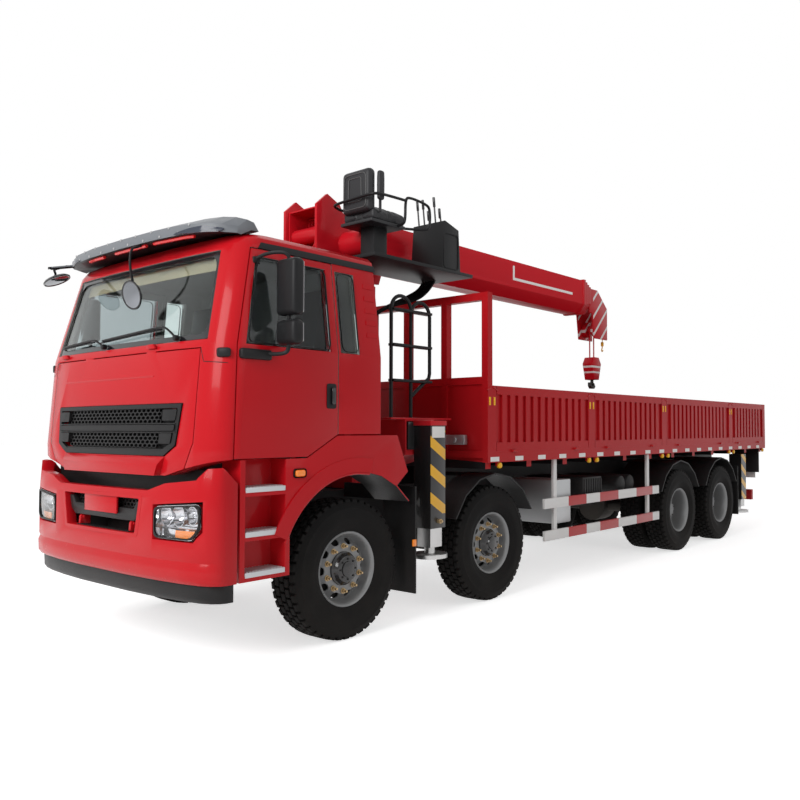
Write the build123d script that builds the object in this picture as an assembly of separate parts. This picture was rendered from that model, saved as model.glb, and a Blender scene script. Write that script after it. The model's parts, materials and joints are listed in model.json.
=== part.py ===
from build123d import *
import math
import os

# Four-axle drop-side lorry with a telescopic crane on a column behind its cab.
# Millimetres; +X forward, +Y to the lorry's left, +Z up; the origin is on the ground,
# below the middle of the vehicle's length.

# Vehicle
overall_length = 10410
front_overhang = 1355
steer_axle_gap = 1800
middle_axle_gap = 3975
bogie_axle_gap = 1400
width_over_mirrors = 2960

# Fits and gaps
seat_gap = 0.3
running_gap = 0.5
slide_gap = 6
panel_gap = 8
rod_sides = 12
tube_sides = 8

# Wheels
tyre_radius = 525
tyre_width = 300
tread_width = 250
bead_width = 236
bead_radius = 256
sidewall_radius = 410
bead_height = 20
tyre_sides = 24
rim_wall = 30
rim_width = 224
front_track = 2030
rear_track = 1840
twin_spacing = 340
hub_radius = 130
hub_sides = 16
front_hub_reach = 140
rear_hub_reach = 180
disc_thickness = 40
spindle_radius = 45

# Axles, springs and steering
kingpin_inset = 118
kingpin_radius = 25
fist_radius = 48
fist_height = 120
beam_width = 90
beam_depth = 130
beam_drop = 60
knuckle_lug = 30
knuckle_plate = 30
spring_half_length = 720
spring_width = 70
spring_thickness = 60
spring_pad = 40
axle_tube_radius = 75
axle_tube_half = 600
differential_radius = 200
differential_length = 320

# Chassis
frame_width = 850
rail_top = 1050
rail_depth = 290
rail_flange = 80
rail_plate = 14
rail_front_setback = 330
rail_rear_setback = 200
member_length = 90
member_depth = 150
mudguard_radius = 632
mudguard_plate = 14
mudguard_folds = 6
flap_thickness = 14

# Cab
cab_width = 2484
cab_rear_offset = 290
nose_offset = 1262
nose_height = 1450
skirt_offset = 1254
belt_offset = 1210
gutter_offset = 1040
brow_offset = 1005
crown_offset = 945
roof_offset = 850
skirt_height = 1250
belt_height = 2120
roof_rise = 810
gutter_drop = 110
brow_drop = 58
crown_drop = 22
gutter_width = 2300
brow_width = 2270
crown_width = 2180
roof_width = 2000
# The front in plan, as shares of the half width and how far each point lies behind the nose.
cab_curve = ((1, 215), (0.99, 150), (0.96, 95), (0.91, 56), (0.82, 28), (0.6, 10), (0.3, 2))
rear_round = 50
cab_wall = 60
cab_floor = 1600
headroom = 280
sill_height = 1380
rear_sill_height = 1535
glass_depth = 18
glass_thickness = 8

# Doors and windows, their places given ahead of the first axle
door_front_low = 1080
door_front_belt = 1055
door_front_top = 895
door_rear = 200
door_arch_start = 480
door_top_drop = 30
window_sill = 10
window_frame = 50
window_front_low = 1000
window_front_top = 870
window_rear = 260
quarter_front = 170
quarter_rear = -20
screen_sill = 40
screen_drop = 40
screen_low_width = 2100
screen_top_width = 1940

# Front panel and grille
lid_drop = 20
lid_low = 1262
lid_waist = 1480
lid_corner_height = 1312
lid_top_width = 2000
lid_corner_width = 1810
lid_low_width = 1400
skirt_rise = 1378
lip_top = 1388
lip_crest = 1338
lip_reach = 1292
lip_ends = 60
lid_thickness = 40
lid_hinge_plate = 24
lid_hinge_y = 380
lid_hinge_width = 120
grille_top = 1745
grille_low = 1390
grille_waist = 1460
grille_top_width = 1740
grille_waist_width = 1660
grille_low_width = 1400
grille_rim = 30
grille_slats = 5
grille_slot = 32

# Bumper and lamps
bumper_width = 2486
bumper_depth = 300
bumper_wall = 70
bumper_peak = 1340
# The bumper in plan, and from below up: heights, and how far each is drawn in.
bumper_curve = ((1, 190), (0.985, 150), (0.95, 112), (0.89, 80), (0.76, 50), (0.55, 22), (0.28, 5))
bumper_levels = ((580, 26), (612, 4), (690, 0), (722, 16), (748, 6), (1120, 6), (1340, 22))
bumper_edge = ((620, 1165), (800, 1218), (1090, 1246), (1165, 1320), (1300, 1330))
bumper_slant = 120
bumper_mount_depth = 60
lamp_inner = 690
lamp_outer = 1150
lamp_low = 850
lamp_top = 1112
lamp_slope = 36
lamp_corner = 70
intake_top_width = 1060
intake_low_width = 960
intake_low = 870
intake_top = 1105
valance_drop = 120
valance_thickness = 20

# Fenders and steps
fender_width = 2480
fender_plate = 25
arch_radius = 730
arch_folds = 8
fender_rear_reach = 480
fender_rear_low = 1240
liner_plate = 14
liner_width = 380
step_front = 1035
step_rear = 630
step_depth = 200
step_low = 580
step_rise = 290
step_wall = 40

# Visor and front mirrors
visor_height = 110
visor_reach = 1215
visor_rear = 790
# The visor from its middle out: places, how far each lies behind its front edge, and its fall.
visor_curve = ((0, 0, 0), (450, 10, 0), (750, 40, 6), (920, 90, 14), (1020, 160, 26), (1080, 250, 44))
front_mirror_y = (250, -920)
front_mirror_drop = (410, 230)
front_mirror_radius = 105
front_mirror_depth = 45
mirror_foot = 70
mirror_arm_radius = 13

# Door mirrors
mirror_width = 215
mirror_height = 390
wide_mirror_height = 170
mirror_depth = 100
mirror_offset = 800
mirror_split = 25

# Crane base and outriggers
crane_offset = 980
housing_low = 1385
housing_height = 270
housing_wall = 15
housing_half = 985
channel_width = 160
channel_web = 20
pedestal_length = 540
slew_ring_radius = 330
slew_ring_height = 85
slew_sides = 24
leg_width = 190
leg_wall = 15
front_leg_low = 740
front_foot_low = 490
rear_leg_low = 502
rear_leg_top = 1190
rear_foot_low = 300
rear_leg_offset = 8200
foot_radius = 150
foot_thickness = 35
foot_sides = 16
foot_rod_radius = 45

# Column, with its places given ahead of the slewing axis
column_width = 400
column_drop = 380
cheek_plate = 30
cheek_rise = 340
cheek_foot_drop = 350
foot_pin_ahead = 400
foot_pin_height = 3330
foot_pin_radius = 40
luff_pin_behind = 330
luff_pin_height = 1830
luff_pin_radius = 35
luff_lug_plate = 28
luff_lug_gap = 124
winch_radius = 120
winch_length = 300
winch_ahead = 150
winch_drop = 80

# Luffing cylinder
barrel_radius = 75
bore_radius = 50
barrel_length = 1130
rod_eye_drop = 90
rod_eye_radius = 55
eye_width = 100

# Boom
boom_drop = 210
boom_depth = 430
boom_width = 380
boom_chamfer_height = 120
boom_chamfer_width = 90
boom_plate = 12
boom_side_gap = 8
boom_tail_ahead = 90
boom_front = -1300
section_step = 80
collar_length = 60
collar_lip = 14
tail_step = 20
tail_clearance = 60
head_reach = 470
head_margin = 30
head_plate = 22
sheave_radius = 110
sheave_pin_radius = 22
sheave_below = 160
sheave_behind = 260

# Hook block
rope_drop = 390
block_height = 310
hook_drop = 123
block_width = 250
block_thickness = 150
rope_radius = 9
rope_spread = 55
hanger_width = 70

# Operator's station, with its places given ahead of the slewing axis
platform_rise = 50
platform_plate = 30
platform_front = 520
platform_rear = -780
platform_inner = 350
platform_outer = 950
console_length = 270
console_height = 500
console_inner = 400
console_outer = 800
guard_radius = 17
guard_height = 620
seat_rise = 440
seat_cushion = 100
seat_front = 20
seat_back = 490
seat_back_thickness = 110
seat_inner = 440
seat_outer = 900
seat_back_rise = 340
pedestal_width = 160

# Bed
bed_width = 2494
bed_front_offset = 1600
bed_floor = 1370
floor_rise = 4
floor_gap = 3
hinge_offset = 17
hinge_radius = 12
hinge_length = 80
hinge_shares = (0.16, 0.84)
bed_rail_height = 100
bed_wall = 60
board_height = 600
post_width = 130
post_offsets = (1665, 3460, 5270, 7530)
rear_post_width = 110
cross_beam_depth = 60
cross_beam_length = 80
cross_beams = 12
rib_pitch = 128
rib_width = 70
rib_depth = 22
rib_margin = 80
headboard_top = 2820
headboard_sheet = 2050
headboard_post = 70
headboard_posts = 6
headboard_rail = 70

# Ladder
ladder_y = 935
ladder_front_ahead = 310
ladder_step = 244
ladder_top = 2680
ladder_tube = 16
ladder_rungs = 4
rung_rise = 290
ladder_foot_plate = 15

# Side guards, underrun bar and tail lamps
guard_front_gap = 225
guard_rear_gap = 120
guard_rail_height = 100
guard_low = 460
guard_gap = 220
guard_plate = 30
guard_face = 1235
upright_length = 60
upright_inset = 240
underrun_low = 460
underrun_height = 160
underrun_depth = 80
underrun_half = 1150
underrun_setback = 340
tail_lamp_inner = 800
tail_lamp_outer = 1150
tail_lamp_low = 920
tail_lamp_height = 120
tail_lamp_depth = 40
lamp_bracket_plate = 24

# Tanks and boxes beside the rails, with places given behind the second axle
fuel_tank = (900, 2300, 1170, 540)
tool_box = (1070, 1380, 1150, 600)
battery_box = (1630, 2040, 1150, 800)
silencer_box = (2450, 3050, 1130, 620)
air_tank_behind = (2560, 2785)
air_tank_radius = 105
air_tank_height = 930
air_tank_outer = 1100

# Engine and driveline
engine_length = 1000
engine_width = 640
engine_low = 820
engine_top = 1365
gearbox_length = 760
gearbox_width = 380
gearbox_low = 740
radiator_depth = 80
radiator_width = 800
shaft_radius = 55

# Places worked out from the sizes above
front_x = overall_length / 2
roof_height = belt_height + roof_rise
gutter_height = roof_height - gutter_drop
brow_height = roof_height - brow_drop
crown_height = roof_height - crown_drop
door_top = gutter_height - door_top_drop
window_low = belt_height + window_sill
window_top = door_top - window_frame
screen_low = belt_height + screen_sill
screen_top = gutter_height - screen_drop
lid_top = belt_height - lid_drop
mirror_low = window_low
boom_low = foot_pin_height - boom_drop
rod_eye_height = boom_low - rod_eye_drop
sheave_height = boom_low - sheave_below
winch_height = foot_pin_height - winch_drop
cheek_top = foot_pin_height + cheek_rise
column_top = foot_pin_height - column_drop
cheek_low = column_top - cheek_foot_drop
platform_low = column_top + platform_rise
seat_height = platform_low + seat_rise
seat_top = seat_height + seat_back_rise
rear_x = -front_x
axle_1 = front_x - front_overhang
axle_2 = axle_1 - steer_axle_gap
axle_3 = axle_2 - middle_axle_gap
axle_4 = axle_3 - bogie_axle_gap
kingpin_y = front_track / 2 - kingpin_inset
rail_outer = frame_width / 2
rail_inner = rail_outer - rail_flange
rail_low = rail_top - rail_depth
rail_front = front_x - rail_front_setback
rail_rear = rear_x + rail_rear_setback
cab_rear = axle_1 - cab_rear_offset
crane_x = axle_1 - crane_offset
housing_top = housing_low + housing_height
slew_top = housing_top + slew_ring_height
foot_pin_x = crane_x + foot_pin_ahead
luff_pin_x = crane_x - luff_pin_behind
boom_tail = foot_pin_x + boom_tail_ahead
bed_front = axle_1 - bed_front_offset
bed_half = bed_width / 2
bed_top = bed_floor + board_height
hinge_y = bed_half + hinge_offset
bed_rear = rear_x + hinge_offset + hinge_radius
block_top = sheave_height - rope_drop
block_low = block_top - block_height
hook_low = block_low - hook_drop
head_low = sheave_height - sheave_radius - head_margin
bumper_low = bumper_levels[0][0]
cross_beam_low = bed_floor - bed_rail_height - cross_beam_depth
leg_inner = housing_half + 15
leg_outer = leg_inner + leg_width
rear_leg_x = axle_1 - rear_leg_offset


def block(x_range, y_range, z_range):
    low = Vector(x_range[0], y_range[0], z_range[0])
    high = Vector(x_range[1], y_range[1], z_range[1])
    size = high - low
    return Pos(*((low + high) / 2)) * Box(size.X, size.Y, size.Z)


def polygon(points):
    return Face(Wire.make_polygon([Vector(*point) for point in points], close=True))


def prism_x(outline, x_low, x_high):
    face = polygon([(x_low, y, z) for y, z in outline])
    return extrude(face, amount=x_high - x_low, dir=(1, 0, 0))


def prism_y(outline, y_low, y_high):
    face = polygon([(x, y_low, z) for x, z in outline])
    return extrude(face, amount=y_high - y_low, dir=(0, 1, 0))


def prism_z(outline, z_low, z_high):
    face = polygon([(x, y, z_low) for x, y in outline])
    return extrude(face, amount=z_high - z_low, dir=(0, 0, 1))


def pin(start, end, radius):
    reach = Vector(*end) - Vector(*start)
    return Solid.make_cylinder(radius, reach.length, Plane(origin=start, z_dir=reach))


def rod(start, end, radius, sides=rod_sides):
    reach = Vector(*end) - Vector(*start)
    base = Plane(origin=start, z_dir=reach)
    return extrude(base * RegularPolygon(radius, sides), amount=reach.length)


def tube_run(points, radius):
    # Straight runs that lap each other at the bends.
    places = [Vector(*point) for point in points]
    last = len(places) - 2
    runs = []
    for i, (a, b) in enumerate(zip(places, places[1:])):
        lap = (b - a).normalized() * radius * 0.8
        start = a if i == 0 else a - lap
        end = b if i == last else b + lap
        runs.append(rod(tuple(start), tuple(end), radius, tube_sides))
    return Part() + runs


def skin(loops):
    # A solid over loops with the same count of points, closed by the flat first and last loop.
    faces = [polygon(loops[0]), polygon(loops[-1])]
    for low, high in zip(loops, loops[1:]):
        for i in range(len(low)):
            corners = [Vector(*place) for place in (low[i - 1], low[i], high[i], high[i - 1])]
            a, b, c, d = corners
            across = (b - a).cross(d - a).normalized()
            if abs(across.dot(c - a)) < 1e-6:
                faces.append(polygon(corners))
            elif (c - a).length < (d - b).length:
                faces += [polygon([a, b, c]), polygon([a, c, d])]
            else:
                faces += [polygon([a, b, d]), polygon([b, c, d])]
    return Solid(Shell(faces))


def ring(profile, sides):
    # A ring about the Y axis in flat facets, over a closed profile of (offset, radius) points.
    loops = [[(x, offset, z) for x, z in regular(radius, sides)] for offset, radius in profile]
    faces = []
    for low, high in zip(loops, loops[1:] + loops[:1]):
        for i in range(sides):
            faces.append(polygon([low[i - 1], low[i], high[i], high[i - 1]]))
    return Solid(Shell(faces))


def regular(radius, sides, x=0, z=0):
    # A polygon round a circle of this radius, with a flat side at the bottom.
    half = math.pi / sides
    corner = radius / math.cos(half)
    angles = [-math.pi / 2 + half + 2 * half * i for i in range(sides)]
    return [(x + corner * math.cos(a), z + corner * math.sin(a)) for a in angles]


def grown(outline, amount):
    # The outline with each side moved outwards; its points run counter-clockwise.
    count = len(outline)
    moved = []
    for i in range(count):
        before, here, after = outline[i - 1], outline[i], outline[(i + 1) % count]
        first = Vector(here[0] - before[0], here[1] - before[1]).normalized()
        second = Vector(after[0] - here[0], after[1] - here[1]).normalized()
        out_first = Vector(first.Y, -first.X)
        out_second = Vector(second.Y, -second.X)
        bisector = (out_first + out_second).normalized()
        reach = amount / bisector.dot(out_first)
        moved.append((here[0] + bisector.X * reach, here[1] + bisector.Y * reach))
    return moved


def mirrored(shape):
    return mirror(shape, Plane.XZ)


def both_sides(shape):
    return Part() + [shape, mirrored(shape)]


# Wheels
def tyre(y):
    side = [(bead_width / 2, bead_radius), (bead_width / 2, bead_radius + bead_height),
            (tyre_width / 2, sidewall_radius), (tread_width / 2, tyre_radius)]
    profile = side + [(-offset, radius) for offset, radius in reversed(side)]
    return Pos(0, y, 0) * ring(profile, tyre_sides)


def rim(y_low, y_high, disc_y, hub_y):
    barrel_outer = regular(bead_radius - seat_gap, tyre_sides)
    barrel_inner = regular(bead_radius - rim_wall, tyre_sides)
    barrel = prism_y(barrel_outer, y_low, y_high) - prism_y(barrel_inner, y_low, y_high)
    disc = prism_y(barrel_inner, disc_y, disc_y + disc_thickness)
    hub = prism_y(regular(hub_radius, hub_sides), disc_y, hub_y)
    spindle_bore = pin((0, disc_y - 1, 0), (0, disc_y + 2 * disc_thickness, 0), spindle_radius + running_gap)
    return barrel + disc + hub - spindle_bore


def front_wheel(axle_x):
    half = rim_width / 2
    wheel = Part() + [tyre(0), rim(-half, half, disc_thickness / 2, front_hub_reach)]
    return Pos(axle_x, front_track / 2, tyre_radius) * wheel


def rear_wheel(axle_x):
    half = rim_width / 2
    inner = -twin_spacing / 2
    outer = twin_spacing / 2
    twin_rim = rim(inner - half, outer + half, -disc_thickness / 2, rear_hub_reach)
    wheel = Part() + [tyre(inner), tyre(outer), twin_rim]
    return Pos(axle_x, rear_track / 2, tyre_radius) * wheel


# Axles and knuckles
def front_axle(axle_x):
    low = tyre_radius - fist_height / 2
    top = tyre_radius + fist_height / 2
    seat = kingpin_y - fist_radius
    bend = seat - 2 * fist_radius
    half_outline = [(kingpin_y, top), (seat, top), (bend, top - beam_drop)]
    lower = [(bend, top - beam_drop - beam_depth), (seat, low), (kingpin_y, low)]
    outline = half_outline + [(-y, z) for y, z in reversed(half_outline)]
    outline += [(-y, z) for y, z in lower[::-1]] + lower
    beam = prism_x(outline, axle_x - beam_width / 2, axle_x + beam_width / 2)
    fist = rod((axle_x, kingpin_y, low), (axle_x, kingpin_y, top), fist_radius)
    hole = pin((axle_x, kingpin_y, low - 1), (axle_x, kingpin_y, top + 1), kingpin_radius + running_gap)
    spring_low = top - beam_drop
    spring = leaf_spring(axle_x, spring_low)
    ends = both_sides(fist)
    return beam + ends + both_sides(spring) - both_sides(hole)


def leaf_spring(axle_x, low):
    pad_top = low + spring_pad
    end_top = rail_low - spring_pad / 2
    end_low = end_top - spring_thickness
    half = spring_half_length
    mid = half / 3
    outline = [(axle_x - half, end_low), (axle_x - mid, pad_top), (axle_x - beam_width, pad_top),
               (axle_x - beam_width, low), (axle_x + beam_width, low), (axle_x + beam_width, pad_top),
               (axle_x + mid, pad_top), (axle_x + half, end_low), (axle_x + half, end_top),
               (axle_x + mid, pad_top + spring_thickness), (axle_x - mid, pad_top + spring_thickness),
               (axle_x - half, end_top)]
    return prism_y(outline, rail_outer - spring_width, rail_outer)


def knuckle(axle_x):
    low = tyre_radius - fist_height / 2 - running_gap
    top = tyre_radius + fist_height / 2 + running_gap
    plate_y = kingpin_y + fist_radius + slide_gap
    plate_end = plate_y + knuckle_plate
    half = fist_radius - 4
    lugs = []
    for z in (low - knuckle_lug, top):
        lugs.append(rod((axle_x, kingpin_y, z), (axle_x, kingpin_y, z + knuckle_lug), half))
        lugs.append(block((axle_x - half, axle_x + half), (kingpin_y, plate_end), (z, z + knuckle_lug)))
    kingpin = pin((axle_x, kingpin_y, low - knuckle_lug), (axle_x, kingpin_y, top + knuckle_lug), kingpin_radius)
    plate = block((axle_x - half, axle_x + half), (plate_y, plate_end), (low - knuckle_lug, top + knuckle_lug))
    disc_y = front_track / 2 + disc_thickness / 2
    spindle_start = (axle_x, plate_y, tyre_radius)
    spindle = pin(spindle_start, (axle_x, disc_y + disc_thickness, tyre_radius), spindle_radius)
    return Part() + lugs + [kingpin, plate, spindle]


def rear_axle(axle_x):
    tube = rod((axle_x, -axle_tube_half, tyre_radius), (axle_x, axle_tube_half, tyre_radius), axle_tube_radius)
    spindle_end = rear_track / 2 + disc_thickness
    spindle = pin((axle_x, -spindle_end, tyre_radius), (axle_x, spindle_end, tyre_radius), spindle_radius)
    half = differential_length / 2
    case = prism_x(regular(differential_radius, hub_sides, 0, tyre_radius), axle_x - half, axle_x + half)
    return tube + spindle + case


def bogie_spring():
    low = tyre_radius + axle_tube_radius - 20
    middle = (axle_3 + axle_4) / 2
    span = bogie_axle_gap / 2
    rise = spring_pad * 2
    outline = [(middle - span - beam_width, low), (middle - span + beam_width, low),
               (middle - beam_width, low + rise), (middle + beam_width, low + rise),
               (middle + span - beam_width, low), (middle + span + beam_width, low),
               (middle + span + beam_width, low + spring_thickness),
               (middle + beam_width, low + rise + 2 * spring_thickness),
               (middle - beam_width, low + rise + 2 * spring_thickness),
               (middle - span - beam_width, low + spring_thickness)]
    return prism_y(outline, rail_outer, rail_outer + spring_width)


def axles():
    rear = rear_axle(axle_3) + rear_axle(axle_4) + both_sides(bogie_spring())
    return Part() + [front_axle(axle_1), front_axle(axle_2), rear]


# Chassis
def rail():
    outline = [(rail_inner, rail_low), (rail_outer, rail_low), (rail_outer, rail_top), (rail_inner, rail_top),
               (rail_inner, rail_top - rail_plate), (rail_outer - rail_plate, rail_top - rail_plate),
               (rail_outer - rail_plate, rail_low + rail_plate), (rail_inner, rail_low + rail_plate)]
    return prism_x(outline, rail_rear, rail_front)


def mudguard(axle_x, y_inner, y_outer):
    outer = []
    inner = []
    for i in range(mudguard_folds + 1):
        angle = math.radians(25 + 130 * i / mudguard_folds)
        for points, radius in ((outer, mudguard_radius + mudguard_plate), (inner, mudguard_radius)):
            x = axle_x + radius * math.cos(angle)
            points.append((x, tyre_radius + radius * math.sin(angle)))
    arch = prism_y(outer + inner[::-1], y_inner, y_outer)
    stay_top = tyre_radius + mudguard_radius + mudguard_plate / 2
    stay = block((axle_x - 30, axle_x + 30), (rail_outer + seat_gap, y_inner + 60), (stay_top - 35, stay_top))
    return arch + stay


def flap(x, y_inner, z_low, z_top):
    sheet = block((x - flap_thickness, x), (y_inner, fender_width / 2 - 10), (z_low, z_top))
    stay = block((x - flap_thickness, x + 30), (rail_outer + seat_gap, y_inner + 60), (z_top - 120, z_top))
    return sheet + stay


def rear_leg():
    half = leg_width / 2
    x = rear_leg_x
    sleeve = block((x - half, x + half), (leg_inner, leg_outer), (rear_leg_low, rear_leg_top))
    hollow = block((x - half + leg_wall, x + half - leg_wall), (leg_inner + leg_wall, leg_outer - leg_wall),
                   (rear_leg_low - 1, rear_leg_top - leg_wall))
    arm = block((x - half, x + half), (rail_outer - rail_plate, leg_inner), (rail_low + 40, rail_top - 20))
    return arm + sleeve - hollow


def chassis_frame():
    member_top = rail_top - rail_plate
    member_low = member_top - member_depth
    middle = (axle_3 + axle_4) / 2
    places = [rail_front - member_length / 2, axle_2 - 800, (axle_2 + axle_3) / 2, axle_3 + 760,
              middle, rail_rear + member_length / 2]
    half = member_length / 2
    reach = rail_outer - rail_plate
    members = [block((x - half, x + half), (-reach, reach), (member_low, member_top)) for x in places]
    hanger_low = rail_low - spring_pad / 2
    one_side = [rail()]
    for axle_x in (axle_1, axle_2):
        for end in (-1, 1):
            x = axle_x + end * (spring_half_length - 40)
            one_side.append(block((x - 40, x + 40), (rail_inner, rail_outer), (hanger_low, rail_low)))
    trunnion_low = tyre_radius + axle_tube_radius - 20 + 2 * spring_pad + 2 * spring_thickness
    trunnion_y = (rail_outer - rail_plate, rail_outer + spring_width)
    one_side.append(block((middle - 110, middle + 110), trunnion_y, (trunnion_low, rail_top - 40)))
    bumper_arm_end = front_x - bumper_wall - bumper_mount_depth - seat_gap
    one_side.append(block((rail_front, bumper_arm_end), (rail_inner, rail_outer), (rail_low + 40, rail_top - 50)))
    for x, top in ((cab_rear + 60, rear_sill_height), (axle_1 + 760, sill_height)):
        one_side.append(block((x, x + 80), (rail_inner, rail_outer), (rail_top, top)))
    one_side.append(mudguard(axle_2, front_track / 2 - tyre_width / 2 + 10, leg_outer))
    twin_inner = rear_track / 2 - twin_spacing / 2 - tyre_width / 2
    for axle_x in (axle_3, axle_4):
        one_side.append(mudguard(axle_x, twin_inner, fender_width / 2))
    one_side.append(flap(axle_1 - 650, front_track / 2 - tyre_width / 2, 250, rail_top + 60))
    one_side.append(flap(axle_4 - 660, twin_inner, 300, rail_top - 30))
    one_side.append(rear_leg())
    return Part() + members + [both_sides(Part() + one_side)]


def driveline():
    engine_front = axle_1 + 880
    engine_rear = engine_front - engine_length
    gearbox_rear = engine_rear - gearbox_length
    engine = block((engine_rear, engine_front), (-engine_width / 2, engine_width / 2), (engine_low, engine_top))
    gearbox = block((gearbox_rear, engine_rear), (-gearbox_width / 2, gearbox_width / 2),
                    (gearbox_low, rail_top - 10))
    radiator_front = rail_front - 10
    radiator = block((radiator_front - radiator_depth, radiator_front), (-radiator_width / 2, radiator_width / 2),
                     (rail_top, engine_top))
    shaft_end = axle_3 + differential_length / 2 + slide_gap
    shaft = rod((gearbox_rear, 0, gearbox_low + 90), (shaft_end, 0, tyre_radius + 60), shaft_radius)
    link = rod((axle_3 - differential_length / 2, 0, tyre_radius),
               (axle_4 + differential_length / 2, 0, tyre_radius), shaft_radius)
    mount_x = (engine_rear + 300, engine_rear + 420)
    mount = block(mount_x, (engine_width / 2, rail_outer), (rail_top + seat_gap, rail_top + 70))
    return Part() + [engine + gearbox + shaft + both_sides(mount), radiator, link]


def side_box(sizes, side):
    near, far, outer, low = sizes
    box = block((axle_2 - far, axle_2 - near), (rail_outer + seat_gap, outer), (low, rail_top))
    return box if side > 0 else mirrored(box)


def tanks():
    pieces = [side_box(fuel_tank, -1), side_box(silencer_box, -1), side_box(tool_box, 1), side_box(battery_box, 1)]
    for behind in air_tank_behind:
        x = axle_2 - behind
        tank = rod((x, rail_outer + seat_gap, air_tank_height), (x, air_tank_outer, air_tank_height), air_tank_radius)
        pieces.append(tank)
    return Part() + pieces


# Cab
def cab_section(z, nose, half, rear):
    side = [(rear, half - rear_round), (rear + rear_round, half)]
    side += [(nose - setback, half * share) for share, setback in cab_curve]
    outline = side + [(x, -y) for x, y in reversed(side)]
    return [(x, y, z) for x, y in outline]


def cab_form(inset):
    stations = [(skirt_height, skirt_offset, cab_width), (nose_height, nose_offset, cab_width),
                (belt_height, belt_offset, cab_width), (gutter_height - inset * 0.3, gutter_offset, gutter_width),
                (brow_height - inset * 0.7, brow_offset, brow_width),
                (crown_height - inset * 0.9, crown_offset, crown_width),
                (roof_height - inset, roof_offset, roof_width)]
    sections = []
    for z, nose, width in stations:
        sections.append(cab_section(z, axle_1 + nose - inset, width / 2 - inset, cab_rear + inset))
    return skin(sections)


def cab_side_core():
    # What lies inside the doors' inner face, along the whole cab.
    half = cab_width / 2 - cab_wall + seat_gap
    top = gutter_width / 2 - cab_wall + seat_gap
    outline = [(-half, 0), (half, 0), (half, belt_height), (top, gutter_height), (-top, gutter_height),
               (-half, belt_height)]
    return prism_x(outline, cab_rear - 1, front_x)


def placed(outline):
    return [(axle_1 + x, z) for x, z in outline]


def door_outline():
    return placed([(door_arch_start, sill_height), (door_front_low, sill_height), (door_front_belt, belt_height),
                   (door_front_top, door_top), (door_rear, door_top), (door_rear, rear_sill_height)])


def door_window():
    return placed([(window_rear, window_low), (window_front_low, window_low), (window_front_top, window_top),
                   (window_rear, window_top)])


def quarter_window():
    return placed([(quarter_rear, window_low), (quarter_front, window_low), (quarter_front, window_top),
                   (quarter_rear, window_top)])


def screen_outline():
    return [(-screen_low_width / 2, screen_low), (screen_low_width / 2, screen_low),
            (screen_top_width / 2, screen_top), (-screen_top_width / 2, screen_top)]


def lid_outline():
    side = [(lid_low_width / 2, lid_low), (lid_corner_width / 2, lid_corner_height),
            (lid_top_width / 2, lid_waist), (lid_top_width / 2, lid_top)]
    return side + [(-y, z) for y, z in reversed(side)]


def grille_outline():
    side = [(grille_low_width / 2, grille_low), (grille_waist_width / 2, grille_waist),
            (grille_top_width / 2, grille_top)]
    return side + [(-y, z) for y, z in reversed(side)]


def left_of_middle(outline):
    return prism_y(outline, 0, cab_width)


def from_front(outline):
    return prism_x(outline, axle_1 + roof_offset - 200, front_x)


def cab_shell():
    form = cab_form(0)
    far = cab_width
    above_floor = block((cab_rear, front_x), (-far, far), (cab_floor, roof_height))
    cavity = cab_form(cab_wall) & above_floor
    under = placed([(-cab_rear_offset - 10, 0), (door_front_low, 0), (door_front_low, sill_height),
                    (door_arch_start, sill_height), (door_rear, rear_sill_height),
                    (-cab_rear_offset - 10, rear_sill_height)])
    bay_front = axle_1 + belt_offset - cab_wall - lid_thickness - panel_gap
    bay_half = lid_low_width / 2 - cab_wall
    bay = block((cab_rear, bay_front), (-bay_half, bay_half), (0, sill_height))
    doorway = left_of_middle(grown(door_outline(), panel_gap)) & (form - cab_form(cab_wall))
    quarter = left_of_middle(quarter_window())
    screen = from_front(screen_outline())
    pocket = from_front(grown(lid_outline(), panel_gap)) & (form - cab_form(lid_thickness + panel_gap))
    skirt_edge = [(lid_low_width / 2, lid_low), (lid_corner_width / 2, lid_corner_height),
                  (cab_width / 2, skirt_rise), (far, skirt_rise), (far, 0)]
    below_lid = prism_x(skirt_edge + [(-y, z) for y, z in reversed(skirt_edge)], axle_1 + door_front_low - 1, front_x)
    shell = form - cavity - prism_y(under, -far, far) - bay - below_lid
    return shell - both_sides(doorway) - both_sides(quarter) - screen - pocket


def door():
    leaf = left_of_middle(door_outline()) & cab_form(0)
    return leaf - cab_side_core() - left_of_middle(door_window())


def pane(outline, cutter):
    layer = cab_form(glass_depth) - cab_form(glass_depth + glass_thickness)
    return cutter(grown(outline, -seat_gap)) & layer


def cab_glass():
    return Part() + [pane(screen_outline(), from_front), both_sides(pane(quarter_window(), left_of_middle))]


def door_glass():
    return pane(door_window(), left_of_middle)


def front_panel():
    sheet_form = cab_form(0) - cab_form(lid_thickness)
    sheet = (from_front(lid_outline()) & sheet_form) - from_front(grille_outline())
    lip_root = skirt_offset - lid_thickness + 2
    lip_outline = placed([(lip_root, lid_low), (lip_reach, lid_low), (lip_reach, lip_crest), (skirt_offset, lip_top),
                          (lip_root, lip_top)])
    half = lid_low_width / 2
    lip_ends_outline = [(-half + lip_ends, lid_low), (half - lip_ends, lid_low), (half, lip_top), (-half, lip_top)]
    lip = prism_y(lip_outline, -half, half) & from_front(lip_ends_outline)
    hinge_x = axle_1 + belt_offset
    hinge_z = (lid_top - lid_hinge_plate, lid_top + panel_gap - seat_gap)
    lug = block((hinge_x - lid_hinge_plate, hinge_x - 2), (lid_hinge_y, lid_hinge_y + lid_hinge_width), hinge_z)
    return sheet + lip + both_sides(lug)


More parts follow.
